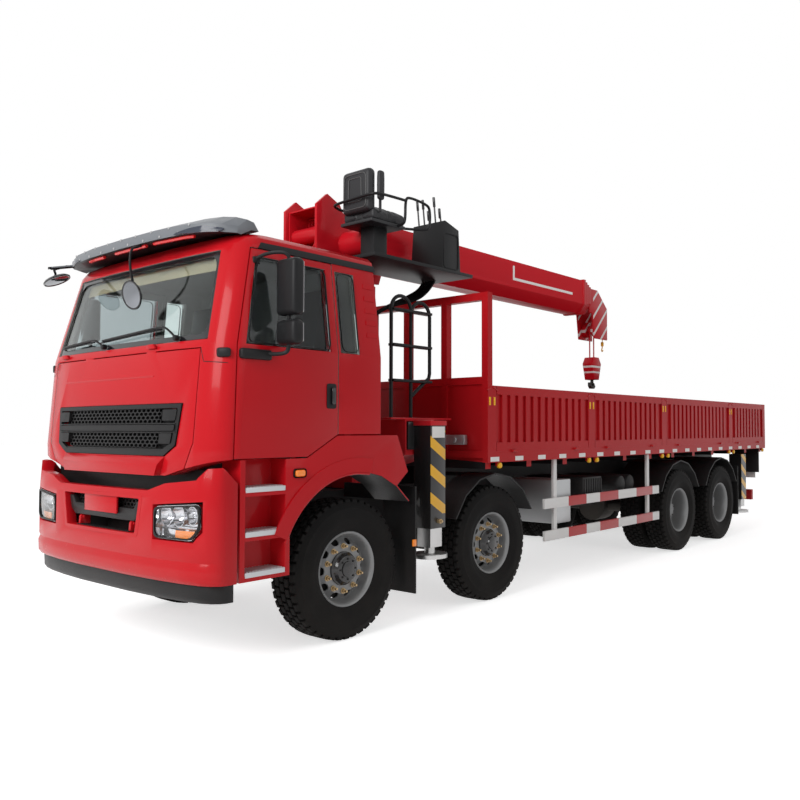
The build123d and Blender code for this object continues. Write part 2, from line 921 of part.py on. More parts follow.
def grille():
    layer = cab_form(4) - cab_form(lid_thickness - 4)
    plate = from_front(grown(grille_outline(), -seat_gap)) & layer
    clear = grille_top - grille_low - 2 * grille_rim
    pitch = clear / grille_slats
    slots = []
    for i in range(grille_slats):
        z = grille_low + grille_rim + pitch * (i + 0.5)
        half = grille_low_width / 2 - grille_rim
        slots.append(block((cab_rear, front_x), (-half, half), (z - grille_slot / 2, z + grille_slot / 2)))
    return plate - (Part() + slots)


def cab_interior():
    dash_front = axle_1 + belt_offset - 150
    dash = block((dash_front - 260, dash_front), (-980, 980), (cab_floor + 130, belt_height - 40))
    foot = block((dash_front - 200, dash_front), (-300, 300), (cab_floor, cab_floor + 130))
    seats = []
    for side in (-1, 1):
        y = side * 620
        outline = placed([(50, cab_floor), (480, cab_floor), (520, cab_floor + 420), (140, cab_floor + 450),
                          (40, roof_height - headroom), (-80, roof_height - headroom), (0, cab_floor + 300)])
        seats.append(prism_y(outline, y - 250, y + 250))
    bunk = block((cab_rear + cab_wall + 20, axle_1 - 110), (-1000, 1000), (cab_floor, cab_floor + 300))
    wheel_centre = (dash_front - 420, 620, belt_height - 10)
    column = rod((dash_front - 250, 620, belt_height - 160), wheel_centre, 30)
    tilted = Plane(origin=wheel_centre, x_dir=(0, 1, 0), z_dir=(-0.6, 0, 0.8))
    ring = extrude(tilted * RegularPolygon(230, 16), amount=26) - extrude(tilted * RegularPolygon(195, 16), amount=26)
    spoke = extrude(tilted * Rectangle(400, 50), amount=22)
    return Part() + [dash + foot + column + ring + spoke, bunk] + seats


# Bumper, lamps, fenders and visor
def bumper_form(inset):
    loops = []
    for z, drawn_in in bumper_levels:
        half = bumper_width / 2 - inset
        nose = front_x - inset - drawn_in
        side = [(front_x - bumper_depth, half)] + [(nose - setback, half * share) for share, setback in bumper_curve]
        outline = side + [(x, -y) for x, y in reversed(side)]
        loops.append([(x, y, z) for x, y in outline])
    return skin(loops)


def lamp_outline():
    return [(lamp_inner, lamp_low), (lamp_outer - lamp_corner, lamp_low), (lamp_outer, lamp_low + lamp_corner),
            (lamp_outer, lamp_top), (lamp_inner, lamp_top - lamp_slope)]


def intake_outline():
    low = intake_low_width / 2
    top = intake_top_width / 2
    return [(-low, intake_low), (low, intake_low), (top, intake_top), (-top, intake_top)]


def bumper():
    rear = front_x - bumper_depth
    shell = bumper_form(0) - bumper_form(bumper_wall)
    lamp_hole = prism_x(lamp_outline(), rear - 1, front_x)
    intake = prism_x(intake_outline(), rear, front_x)
    edge = [(-y, z) for y, z in reversed(bumper_edge)] + list(bumper_edge)
    far = bumper_edge[-1][0]
    above = prism_x(edge + [(far, bumper_peak + 1), (-far, bumper_peak + 1)], rear - 1, front_x + 1)
    slant_outline = [(rear - 1, bumper_peak - bumper_slant), (rear + bumper_slant, bumper_peak + 1),
                     (rear - 1, bumper_peak + 1)]
    slant = prism_y(slant_outline, -far, far)
    mount_x = (front_x - bumper_wall - bumper_mount_depth, front_x - bumper_wall / 2)
    mount = block(mount_x, (rail_inner, rail_outer), (rail_low + 40, intake_low - 4))
    return shell - both_sides(lamp_hole) - intake - above - slant + both_sides(mount)


def head_lamp():
    layer = bumper_form(10) - bumper_form(bumper_wall)
    return prism_x(grown(lamp_outline(), -seat_gap), front_x - bumper_depth, front_x) & layer


def tail_lamp():
    x = bed_rear + cross_beam_length - lamp_bracket_plate / 2 - seat_gap
    return block((x - tail_lamp_depth, x), (tail_lamp_inner, tail_lamp_outer),
                 (tail_lamp_low, tail_lamp_low + tail_lamp_height))


def lamps():
    return Part() + [both_sides(head_lamp()), both_sides(tail_lamp())]


def fender():
    outer = fender_width / 2
    top = rear_sill_height - 10
    front_top = sill_height - 10
    arch = []
    liner_top = []
    for i in range(arch_folds + 1):
        angle = math.radians(20 + 120 * i / arch_folds)
        arch.append((axle_1 + arch_radius * math.cos(angle), tyre_radius + arch_radius * math.sin(angle)))
        radius = arch_radius + liner_plate
        liner_top.append((axle_1 + radius * math.cos(angle), tyre_radius + radius * math.sin(angle)))
    rear = axle_1 - fender_rear_reach - 10
    slope_x = axle_1 + door_arch_start
    plate = [(axle_1 + step_front, front_top), (slope_x, front_top), (axle_1 + door_rear, top), (rear + 60, top),
             (rear - 60, fender_rear_low), (arch[-1][0], fender_rear_low)]
    plate += arch[-2::-1] + [(axle_1 + step_front, arch[0][1])]
    side = prism_y(plate, outer - fender_plate, outer)
    liner = prism_y(arch + liner_top[::-1], outer - liner_width, outer)
    return side + liner


def step_housing():
    outer = fender_width / 2
    inner = outer - step_depth
    body = block((axle_1 + step_rear, axle_1 + step_front), (inner, outer), (step_low, sill_height - 10))
    stay_x = (axle_1 + step_front - 200, axle_1 + step_front - 140)
    stay = block(stay_x, (rail_outer + seat_gap, inner), (rail_top - 150, rail_top - 50))
    return body + stay


def step_wells():
    outer = fender_width / 2
    inner = outer - step_depth
    recess_x = (axle_1 + step_rear + step_wall, axle_1 + step_front - step_wall)
    recesses = []
    for i in range(2):
        tread = step_low + step_wall + (i + 0.9) * step_rise
        recesses.append(block(recess_x, (inner + step_wall, outer + 1), (tread, tread + step_rise - step_wall)))
    recesses.append(block(recess_x, (inner + step_wall, outer + 1), (step_low + step_wall, step_low + 0.9 * step_rise)))
    return Part() + recesses


def valance():
    form = bumper_form(bumper_wall / 2) - bumper_form(bumper_wall / 2 + valance_thickness)
    strip = form & block((rear_x, front_x), (-cab_width, cab_width), (bumper_low, bumper_low + valance_drop))
    return Pos(0, 0, -valance_drop) * strip


def fenders():
    return both_sides(fender() + step_housing() - step_wells())


def visor_setback(y):
    # How far the visor's edge lies behind its middle, at this place along it.
    for (near, first, _), (far, second, _) in zip(visor_curve, visor_curve[1:]):
        if abs(y) <= far:
            return first + (second - first) * (abs(y) - near) / (far - near)
    return visor_curve[-1][1]


def visor():
    reach = axle_1 + visor_reach
    rear = axle_1 + visor_rear
    seat = axle_1 + roof_offset
    crest = roof_height + visor_height
    loops = []
    places = [(-y, back, fall) for y, back, fall in reversed(visor_curve[1:])] + list(visor_curve)
    for y, back, fall in places:
        outline = [(rear, roof_height), (seat, roof_height), (reach - 30 - back, roof_height - 45),
                   (reach - back, roof_height - 40), (reach - 10 - back, roof_height + 30 - fall / 2),
                   (seat + 160 - back / 2, crest - fall), (rear + 40, crest - 10 - fall)]
        loops.append([(x, y, z) for x, z in outline])
    arms = []
    head_x = front_x - front_mirror_depth - 15
    for y, drop in zip(front_mirror_y, front_mirror_drop):
        z = roof_height - drop
        arms.append(rod((head_x, y, z), (head_x + front_mirror_depth, y, z), front_mirror_radius, hub_sides))
        start = (reach - visor_setback(y) - 100, y, roof_height - 10)
        arms.append(tube_run([start, (head_x + 10, y, z + 150), (head_x + 10, y, z)], mirror_arm_radius))
    return skin(loops) + arms


def door_mirror():
    outer = width_over_mirrors / 2
    inner = outer - mirror_width
    x = axle_1 + mirror_offset
    top = mirror_low + wide_mirror_height + mirror_split + mirror_height
    split = mirror_low + wide_mirror_height
    wide = block((x - mirror_depth, x), (inner, outer), (mirror_low, split))
    main = block((x - mirror_depth, x), (inner, outer), (split + mirror_split, top))
    stem_y = inner + mirror_width / 3
    low_root = (axle_1 + door_front_belt - 50, cab_width / 2 + mirror_arm_radius, window_low - 50)
    stem_x = x + mirror_arm_radius / 2
    arm = tube_run([low_root, (stem_x, stem_y, mirror_low + 40), (stem_x, stem_y, top - 30)], mirror_arm_radius)
    lean = (cab_width - gutter_width) / 2 / (gutter_height - belt_height)
    high_z = window_top + 25
    high_y = cab_width / 2 - lean * (high_z - belt_height) + mirror_arm_radius + 2
    stay = rod((axle_1 + door_front_top - 60, high_y, high_z), (stem_x, stem_y, top - 30), mirror_arm_radius)
    foot_x = (low_root[0] - mirror_foot, low_root[0])
    foot_y = (cab_width / 2 + seat_gap, cab_width / 2 + 2 * mirror_arm_radius)
    foot = block(foot_x, foot_y, (low_root[2] - mirror_foot / 2, low_root[2] + mirror_foot / 2))
    return Part() + [wide, main, arm, stay, foot]


# Crane base, outriggers and column
def channel_x(side):
    near = side * channel_web / 2
    far = side * (channel_web / 2 + channel_width)
    return (crane_x + min(near, far), crane_x + max(near, far))


def crane_base():
    half = channel_web / 2 + channel_width + housing_wall
    housing = block((crane_x - half, crane_x + half), (-housing_half, housing_half), (housing_low, housing_top))
    inside = (housing_low + housing_wall, housing_top - housing_wall)
    for side in (-1, 1):
        housing -= block(channel_x(side), (-housing_half - 1, housing_half + 1), inside)
    pedestal_x = (crane_x - pedestal_length / 2, crane_x + pedestal_length / 2)
    pedestal = block(pedestal_x, (-rail_outer, rail_outer), (rail_top, housing_low))
    gusset_outline = [(rail_outer, housing_low - 200), (housing_half, housing_low - 30), (housing_half, housing_low),
                      (rail_outer, housing_low)]
    gusset = both_sides(prism_x(gusset_outline, crane_x - half, crane_x + half))
    slew_ring = pin((crane_x, 0, housing_top), (crane_x, 0, slew_top), slew_ring_radius)
    ring_seat = block(pedestal_x, (-slew_ring_radius, slew_ring_radius), (housing_low, housing_top - housing_wall))
    cheeks = ring_seat - block((crane_x - half, crane_x + half), (-rail_outer, rail_outer), (housing_low, housing_top))
    ladder_x = crane_x + ladder_front_ahead
    plate = block((ladder_x - 3 * ladder_step, ladder_x + 50), (ladder_y - 60, housing_half),
                  (housing_top, housing_top + ladder_foot_plate))
    return Part() + [housing, pedestal, gusset, slew_ring, cheeks, plate]


def outrigger_beam(side):
    arm_x = channel_x(side)
    low = housing_low + housing_wall + seat_gap
    top = housing_top - housing_wall - slide_gap
    arm = block((arm_x[0] + slide_gap, arm_x[1] - slide_gap), (leg_inner - 1950, leg_inner), (low, top))
    half = leg_width / 2
    sleeve = block((crane_x - half, crane_x + half), (leg_inner, leg_outer), (front_leg_low, housing_top - 15))
    hollow = block((crane_x - half + leg_wall, crane_x + half - leg_wall), (leg_inner + leg_wall, leg_outer - leg_wall),
                   (front_leg_low - 1, housing_top - 15 - leg_wall))
    beam = arm + sleeve - hollow
    return beam if side > 0 else mirrored(beam)


def jack(x, foot_low, top):
    half = leg_width / 2 - leg_wall - slide_gap
    y = (leg_inner + leg_outer) / 2
    leg_low = foot_low + 90
    leg = block((x - half, x + half), (y - half, y + half), (leg_low, top - seat_gap))
    neck = rod((x, y, foot_low + foot_thickness), (x, y, leg_low), foot_rod_radius)
    plate = prism_z(regular(foot_radius, foot_sides, x, y), foot_low, foot_low + foot_thickness)
    return leg + neck + plate


def front_jack():
    return jack(crane_x, front_foot_low, housing_top - 15 - leg_wall)


def rear_jack():
    return jack(rear_leg_x, rear_foot_low, rear_leg_top - leg_wall)


def ahead(outline):
    return [(crane_x + x, z) for x, z in outline]


def turret():
    base = slew_top + seat_gap
    half = column_width / 2
    column_outline = [(-190, base), (230, base), (260, cheek_low), (100, column_top), (-80, column_top)]
    column = prism_y(ahead(column_outline), -half, half)
    foot = prism_z(regular(slew_ring_radius - 80, slew_sides, crane_x), base, base + 40)
    pin_x = foot_pin_ahead
    cheek_outline = [(-100, cheek_low), (260, cheek_low), (pin_x + 120, foot_pin_height - 180),
                     (pin_x + 120, cheek_top - 110), (pin_x, cheek_top), (pin_x - 150, cheek_top - 70), (-100, platform_low)]
    cheek = prism_y(ahead(cheek_outline), half, half + cheek_plate)
    pin_half = half + cheek_plate
    foot_pin = pin((foot_pin_x, -pin_half, foot_pin_height), (foot_pin_x, pin_half, foot_pin_height), foot_pin_radius)
    behind = -luff_pin_behind
    lug_outline = [(-180, base + 20), (-170, luff_pin_height + 140), (behind, luff_pin_height + 60),
                   (behind - 55, luff_pin_height), (behind, luff_pin_height - 60)]
    lug = prism_y(ahead(lug_outline), luff_lug_gap / 2, luff_lug_gap / 2 + luff_lug_plate)
    lug_half = luff_lug_gap / 2 + luff_lug_plate
    luff_pin = pin((luff_pin_x, -lug_half, luff_pin_height), (luff_pin_x, lug_half, luff_pin_height), luff_pin_radius)
    winch_start = (crane_x + winch_ahead, pin_half, winch_height)
    winch = rod(winch_start, (crane_x + winch_ahead, pin_half + winch_length, winch_height), winch_radius)
    return Part() + [column, foot, both_sides(cheek), foot_pin, both_sides(lug), luff_pin, winch]


# Luffing cylinder
def luff_barrel():
    eye = rod((luff_pin_x, -eye_width / 2, luff_pin_height), (luff_pin_x, eye_width / 2, luff_pin_height),
              luff_pin_radius + 30)
    tube = rod((luff_pin_x, 0, luff_pin_height), (luff_pin_x, 0, luff_pin_height + barrel_length), barrel_radius)
    bore = rod((luff_pin_x, 0, luff_pin_height + 120), (luff_pin_x, 0, luff_pin_height + barrel_length + 1),
               bore_radius)
    pin_hole = pin((luff_pin_x, -barrel_radius, luff_pin_height), (luff_pin_x, barrel_radius, luff_pin_height),
                   luff_pin_radius + running_gap)
    sides = both_sides(block((luff_pin_x - barrel_radius, luff_pin_x + barrel_radius), (eye_width / 2, barrel_radius + 1),
                             (luff_pin_height - barrel_radius, luff_pin_height + 100)))
    return eye + tube - bore - pin_hole - sides


def luff_rod():
    low = luff_pin_height + 130
    stem = rod((luff_pin_x, 0, low), (luff_pin_x, 0, rod_eye_height), bore_radius - running_gap)
    eye = rod((luff_pin_x, -eye_width / 2, rod_eye_height), (luff_pin_x, eye_width / 2, rod_eye_height), rod_eye_radius)
    return stem + eye


# Boom
def boom_outline(shrink):
    half = boom_width / 2 - shrink * (boom_plate + boom_side_gap)
    low = boom_low + shrink * (boom_plate + seat_gap)
    top = boom_low + boom_depth - shrink * (boom_plate + boom_side_gap)
    knee = low + boom_chamfer_height
    toe = half - boom_chamfer_width
    return [(-toe, low), (toe, low), (half, knee), (half, top), (-half, top), (-half, knee)]


def boom_tube(section):
    outline = boom_outline(section)
    front = boom_front - section * section_step
    if section == 0:
        tail = boom_tail
    else:
        tail = foot_pin_x - foot_pin_radius - tail_clearance - section * tail_step
    tube = prism_x(outline, front, tail)
    hollow = prism_x(grown(outline, -boom_plate), front - 1, tail + 1)
    collar = prism_x(grown(outline, collar_lip), front, front + collar_length)
    if section == 0:
        return tube + collar - hollow
    return tube - hollow


def boom_base():
    tube = boom_tube(0)
    half = boom_width / 2
    boss = rod((foot_pin_x, -half, foot_pin_height), (foot_pin_x, half, foot_pin_height), foot_pin_radius + 30)
    hole = pin((foot_pin_x, -half - 1, foot_pin_height), (foot_pin_x, half + 1, foot_pin_height),
               foot_pin_radius + running_gap)
    eye = luff_pin_x
    lug_outline = [(eye - 110, boom_low + 1), (eye - 60, rod_eye_height - 50), (eye + 60, rod_eye_height - 50),
                   (eye + 110, boom_low + 1)]
    lug = prism_y(lug_outline, luff_lug_gap / 2, luff_lug_gap / 2 + luff_lug_plate)
    return tube + boss + both_sides(lug) - hole


def boom_middle(section):
    tube = boom_tube(section)
    outline = boom_outline(section)
    front = boom_front - section * section_step
    lip = prism_x(grown(outline, collar_lip), front, front + section_step - slide_gap)
    hollow = prism_x(grown(outline, -boom_plate), front - 1, front + section_step)
    return tube + (lip - hollow)


def boom_tip():
    section = 3
    tube = boom_tube(section)
    outline = boom_outline(section)
    front = boom_front - section * section_step
    low = outline[0][1]
    top = outline[3][1]
    half = outline[2][0]
    end = front - head_reach
    lip = prism_x(grown(outline, collar_lip), front, front + section_step - slide_gap)
    hollow = prism_x(grown(outline, -boom_plate), front - 1, front + section_step)
    cheek_outline = [(front + 20, top), (front + 20, low), (front - 60, low), (front - 110, head_low),
                     (end, head_low), (end, low + 100), (front - 200, top)]
    cheek = prism_y(cheek_outline, half - head_plate, half)
    crown = block((front - 200, front + 20), (-half, half), (top - head_plate, top))
    nose = block((end, end + head_plate), (-half, half), (low - 60, low + 100))
    sheave_x = front - sheave_behind
    sheave_pin = pin((sheave_x, -half, sheave_height), (sheave_x, half, sheave_height), sheave_pin_radius)
    wheel_y = hanger_width / 2 + slide_gap
    sheave = rod((sheave_x, wheel_y, sheave_height), (sheave_x, half - head_plate - slide_gap, sheave_height),
                 sheave_radius)
    return tube + (lip - hollow) + both_sides(cheek) + crown + nose + sheave_pin + both_sides(sheave)


def hook_block():
    x = boom_front - 3 * section_step - sheave_behind
    half = block_width / 2
    hub = rod((x, -hanger_width / 2, sheave_height), (x, hanger_width / 2, sheave_height), sheave_pin_radius + 40)
    hole = pin((x, -hanger_width, sheave_height), (x, hanger_width, sheave_height), sheave_pin_radius + running_gap)
    ropes = []
    for offset in (-rope_spread, rope_spread):
        ropes.append(rod((x + offset, 0, block_top - 10), (x + offset, 0, sheave_height), rope_radius))
    body_outline = [(x - half / 2, block_top), (x - half, block_top - 90), (x - half / 2, block_low),
                    (x + half / 2, block_low), (x + half, block_top - 90), (x + half / 2, block_top)]
    body = prism_y(body_outline, -block_thickness / 2, block_thickness / 2)
    shank = rod((x, 0, hook_low + 60), (x, 0, block_low + 10), 22)
    hook_outline = [(x + 24, hook_low + 90), (x - 30, hook_low + 75), (x - 60, hook_low + 30), (x - 30, hook_low),
                    (x + 40, hook_low), (x + 75, hook_low + 35), (x + 75, hook_low + 85), (x + 50, hook_low + 85),
                    (x + 45, hook_low + 45), (x + 10, hook_low + 35), (x - 20, hook_low + 50)]
    hook = prism_y(hook_outline, -22, 22)
    tie = block((x - rope_spread, x + rope_spread), (-12, 12), (sheave_height - 12, sheave_height + 12))
    return Part() + ropes + [hub, tie, body, shank, hook] - hole


# Operator's station
def operator_station():
    rear = crane_x + platform_rear
    front = crane_x + platform_front
    top = platform_low + platform_plate
    floor = block((rear, front), (platform_inner, platform_outer), (platform_low, top))
    cheek_face = column_width / 2 + cheek_plate
    arms = []
    for x in (crane_x - 60, crane_x + 340):
        arms.append(block((x, x + 60), (cheek_face, platform_inner + 60), (platform_low, top)))
    console_outline = [(rear, top), (rear + console_length, top), (rear + console_length - 40, top + console_height),
                       (rear + 30, top + console_height - 60)]
    console = prism_y(console_outline, console_inner, console_outer)
    rail_y = platform_outer - 30
    rail_z = top + guard_height
    guard = tube_run([(rear + console_length + 150, rail_y, top), (rear + console_length + 150, rail_y, rail_z),
                      (front - 30, rail_y, rail_z), (front - 30, rail_y, top)], guard_radius)
    seat_x = (seat_front + seat_back) / 2
    seat_y = (seat_inner + seat_outer) / 2
    stand = block((crane_x + seat_x - pedestal_width / 2, crane_x + seat_x + pedestal_width / 2),
                  (seat_y - pedestal_width / 2, seat_y + pedestal_width / 2), (top, seat_height))
    return Part() + [floor] + arms + [console, guard, stand]


def operator_seat():
    back_inner = seat_back - seat_back_thickness
    outline = ahead([(seat_front, seat_height), (seat_back, seat_height), (seat_back, seat_top),
                     (back_inner, seat_top), (back_inner, seat_height + seat_cushion),
                     (seat_front, seat_height + seat_cushion)])
    return prism_y(outline, seat_inner, seat_outer)


# Bed
def post_places():
    return [axle_1 - offset for offset in post_offsets] + [bed_rear + rear_post_width / 2]


def post_half(index):
    return rear_post_width / 2 if index == len(post_offsets) else post_width / 2


def bed_frame():
    rail_low_z = bed_floor - bed_rail_height
    rear = bed_rear + bed_wall + panel_gap
    floor_half = bed_half - bed_wall - floor_gap
    floor = block((rear, bed_front), (-floor_half, floor_half), (rail_low_z + 40, bed_floor + floor_rise))
    deck = block((rear, bed_front), (-bed_half, bed_half), (rail_low_z + 40, bed_floor))
    side_rail = block((bed_rear, bed_front), (bed_half - bed_wall, bed_half), (rail_low_z, bed_floor))
    rear_rail = block((bed_rear, rear), (-bed_half, bed_half), (rail_low_z, bed_floor))
    runner = block((rail_rear, bed_front), (rail_inner, rail_outer), (rail_top, rail_low_z + 40))
    beams = []
    pitch = (bed_front - bed_rear - 2 * cross_beam_length) / (cross_beams - 1)
    for i in range(cross_beams):
        x = bed_rear + cross_beam_length + pitch * i
        half = cross_beam_length / 2
        beams.append(block((x - half, x + half), (-bed_half + bed_wall, bed_half - bed_wall),
                           (cross_beam_low, rail_low_z + 40)))
    posts = []
    for index, x in enumerate(post_places()):
        half = post_half(index)
        posts.append(block((x - half, x + half), (bed_half - bed_wall, bed_half), (bed_floor, bed_top)))
    return Part() + [floor, deck, rear_rail, both_sides(side_rail), both_sides(runner)] + beams + [headboard()] + [
        both_sides(Part() + posts)]


def headboard():
    x_range = (bed_front - headboard_post, bed_front)
    sheet = block((bed_front - headboard_post + 20, bed_front - 20), (-bed_half + bed_wall, bed_half - bed_wall),
                  (bed_floor, headboard_sheet))
    span = 2 * bed_half - headboard_post
    posts = []
    for i in range(headboard_posts):
        y = -span / 2 + span * i / (headboard_posts - 1)
        posts.append(block(x_range, (y - headboard_post / 2, y + headboard_post / 2), (bed_floor, headboard_top)))
    rails = []
    for z in (headboard_sheet, headboard_top):
        rails.append(block(x_range, (-bed_half, bed_half), (z - headboard_rail, z)))
    return Part() + [sheet] + posts + rails


def side_board(index):
    places = post_places()
    x_high = places[index] - post_half(index) - panel_gap
    x_low = places[index + 1] + post_half(index + 1) + panel_gap
    z_low = bed_floor + seat_gap
    inner = bed_half - bed_wall
    outer = bed_half
    sheet_outer = outer - rib_depth
    sheet = block((x_low, x_high), (inner, sheet_outer), (z_low, bed_top))
    frame_low = block((x_low, x_high), (inner, outer), (z_low, z_low + rib_margin))
    frame_top = block((x_low, x_high), (inner, outer), (bed_top - rib_margin, bed_top))
    count = int((x_high - x_low - rib_width) // rib_pitch)
    start = (x_high + x_low) / 2 - rib_pitch * (count - 1) / 2
    ribs = []
    for i in range(count):
        x = start + rib_pitch * i
        ribs.append(block((x - rib_width / 2, x + rib_width / 2), (sheet_outer, outer), (z_low, bed_top)))
    barrels = []
    for share in hinge_shares:
        x = x_low + (x_high - x_low) * share
        along = (x - hinge_length / 2, x + hinge_length / 2)
        barrels.append(pin((along[0], hinge_y, bed_floor), (along[1], hinge_y, bed_floor), hinge_radius))
        barrels.append(block(along, (outer - rib_depth, hinge_y), (bed_floor + 1, bed_floor + hinge_radius)))
    return Part() + [sheet, frame_low, frame_top] + ribs + barrels


def tailgate():
    half = bed_half - bed_wall - panel_gap
    z_low = bed_floor + seat_gap
    sheet = block((bed_rear + rib_depth, bed_rear + bed_wall), (-half, half), (z_low, bed_top))
    frames = [block((bed_rear, bed_rear + bed_wall), (-half, half), (z_low, z_low + rib_margin)),
              block((bed_rear, bed_rear + bed_wall), (-half, half), (bed_top - rib_margin, bed_top))]
    count = int((2 * half - rib_width) // rib_pitch)
    ribs = []
    for i in range(count):
        y = rib_pitch * (i - (count - 1) / 2)
        ribs.append(block((bed_rear, bed_rear + rib_depth), (y - rib_width / 2, y + rib_width / 2), (z_low, bed_top)))
    barrels = []
    hinge_x = bed_rear - hinge_offset
    for share in hinge_shares:
        y = half * (2 * share - 1)
        along = (y - hinge_length / 2, y + hinge_length / 2)
        barrels.append(pin((hinge_x, along[0], bed_floor), (hinge_x, along[1], bed_floor), hinge_radius))
        barrels.append(block((hinge_x, bed_rear + rib_depth), along, (bed_floor + 1, bed_floor + hinge_radius)))
    return Part() + [sheet] + frames + ribs + barrels


# Ladder, guards and lamp brackets
def ladder():
    foot = housing_top + ladder_foot_plate + seat_gap
    first = crane_x + ladder_front_ahead
    second = first - ladder_step
    third = second - ladder_step
    apex = ladder_top + 40
    stile = tube_run([(first, ladder_y, foot), (first, ladder_y, ladder_top - 40),
                      ((first + second) / 2, ladder_y, apex), (second, ladder_y, ladder_top - 40),
                      (second, ladder_y, foot)], ladder_tube)
    brace = tube_run([(second, ladder_y, ladder_top - 40), (third, ladder_y, ladder_top),
                      (third, ladder_y, foot + 330), (second, ladder_y, foot + 180)], ladder_tube)
    rungs = []
    for i in range(ladder_rungs):
        z = ladder_top - 60 - rung_rise * i
        rungs.append(rod((first, ladder_y, z), (second, ladder_y, z), ladder_tube))
    return Part() + [stile, brace] + rungs


def side_guard():
    x_high = axle_2 - tyre_radius - guard_front_gap
    x_low = axle_3 + tyre_radius + guard_rear_gap
    y_range = (guard_face - guard_plate, guard_face)
    rails = []
    for z in (guard_low, guard_low + guard_rail_height + guard_gap):
        rails.append(block((x_low, x_high), y_range, (z, z + guard_rail_height)))
    uprights = []
    top = bed_floor - bed_rail_height - seat_gap
    for x in (x_low + upright_inset, x_high - upright_inset):
        uprights.append(block((x - upright_length / 2, x + upright_length / 2),
                              (guard_face - 2 * guard_plate, guard_face - guard_plate), (guard_low, top)))
    return Part() + rails + uprights


def underrun():
    x = rear_x + underrun_setback
    bar = block((x, x + underrun_depth), (-underrun_half, underrun_half), (underrun_low, underrun_low + underrun_height))
    arm = block((x, x + underrun_depth), (rail_inner, rail_outer), (underrun_low + underrun_height, rail_low - seat_gap))
    return bar + both_sides(arm)


def lamp_bracket():
    x = bed_rear + cross_beam_length
    half = lamp_bracket_plate / 2
    return block((x - half, x + half), (tail_lamp_inner - 60, tail_lamp_outer + 20),
                 (tail_lamp_low - 40, cross_beam_low - seat_gap))


def guard_rails():
    return Part() + [both_sides(side_guard()), underrun(), both_sides(lamp_bracket())]


nodes = {
    "chassis_frame": chassis_frame(),
    "driveline": driveline(),
    "axles": axles(),
    "tanks": tanks(),
    "cab_shell": cab_shell(),
    "cab_glass": cab_glass(),
    "cab_interior": cab_interior(),
    "front_panel": front_panel(),
    "grille": grille(),
    "bumper": Part() + [bumper(), valance()],
    "lamps": lamps(),
    "fenders": fenders(),
    "visor": visor(),
    "crane_base": crane_base(),
    "turret": turret(),
    "operator_station": operator_station(),
    "operator_seat": operator_seat(),
    "luff_barrel": luff_barrel(),
    "luff_rod": luff_rod(),
    "boom_1": boom_base(),
    "boom_2": boom_middle(1),
    "boom_3": boom_middle(2),
    "boom_4": boom_tip(),
    "hook_block": hook_block(),
    "bed_frame": bed_frame(),
    "tailgate": tailgate(),
    "ladder": ladder(),
    "guard_rails": guard_rails(),
    "outrigger_beam_left": outrigger_beam(1),
    "outrigger_beam_right": outrigger_beam(-1),
}

left_pieces = {
    "door": door(),
    "door_glass": door_glass(),
    "mirror": door_mirror(),
    "knuckle_1": knuckle(axle_1),
    "knuckle_2": knuckle(axle_2),
    "wheel_1": front_wheel(axle_1),
    "wheel_2": front_wheel(axle_2),
    "wheel_3": rear_wheel(axle_3),
    "wheel_4": rear_wheel(axle_4),
    "front_jack": front_jack(),
    "rear_jack": rear_jack(),
}
for number in range(len(post_offsets)):
    left_pieces[f"side_board_{number + 1}"] = side_board(number)

for name, shape in left_pieces.items():
    nodes[name + "_left"] = shape
    nodes[name + "_right"] = mirrored(shape)

os.makedirs("parts", exist_ok=True)
for name, shape in nodes.items():
    export_step(shape, f"parts/{name}.step")
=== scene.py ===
import json
import math
import bpy
from mathutils import Matrix, Vector


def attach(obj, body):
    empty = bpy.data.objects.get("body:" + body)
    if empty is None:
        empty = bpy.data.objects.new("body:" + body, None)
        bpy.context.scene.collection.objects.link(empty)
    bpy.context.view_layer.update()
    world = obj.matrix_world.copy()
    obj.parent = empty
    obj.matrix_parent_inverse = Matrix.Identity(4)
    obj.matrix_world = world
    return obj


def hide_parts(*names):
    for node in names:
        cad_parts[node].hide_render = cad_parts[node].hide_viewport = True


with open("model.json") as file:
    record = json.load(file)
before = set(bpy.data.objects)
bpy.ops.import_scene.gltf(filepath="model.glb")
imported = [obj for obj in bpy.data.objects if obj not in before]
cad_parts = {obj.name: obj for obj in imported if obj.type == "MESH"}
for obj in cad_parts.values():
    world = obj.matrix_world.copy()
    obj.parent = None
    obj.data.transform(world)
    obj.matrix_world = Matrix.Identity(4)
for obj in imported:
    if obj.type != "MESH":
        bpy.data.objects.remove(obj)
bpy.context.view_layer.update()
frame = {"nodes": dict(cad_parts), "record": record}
nodes = frame["nodes"]
bodyOf = {node: body for body, group in frame["record"]["behaviour"]["bodies"].items() for node in group}
bothSides = (("left", 1), ("right", -1))
print("frame loaded:", len(nodes), "nodes")


# selecting and placing
def clearSelection():
    if bpy.context.object and bpy.context.object.mode != "OBJECT":
        bpy.ops.object.mode_set(mode="OBJECT")
    bpy.ops.object.select_all(action="DESELECT")


def pick(*pieces):
    clearSelection()
    for piece in pieces:
        piece.select_set(True)
    bpy.context.view_layer.objects.active = pieces[0]


def editAll(piece, action="SELECT"):
    pick(piece)
    bpy.ops.object.mode_set(mode="EDIT")
    bpy.ops.mesh.select_all(action=action)


def leaveEdit():
    bpy.ops.object.mode_set(mode="OBJECT")


def applyPlace(piece):
    pick(piece)
    bpy.ops.object.transform_apply(location=True, rotation=True, scale=True)


def applyModifiers(piece):
    pick(piece)
    for modifier in list(piece.modifiers):
        bpy.ops.object.modifier_apply(modifier=modifier.name)


def bevelEdges(piece, width, segments=2, angle=40):
    bevel = piece.modifiers.new("edges", "BEVEL")
    bevel.width = width
    bevel.segments = segments
    bevel.limit_method = "ANGLE"
    bevel.angle_limit = math.radians(angle)
    applyModifiers(piece)


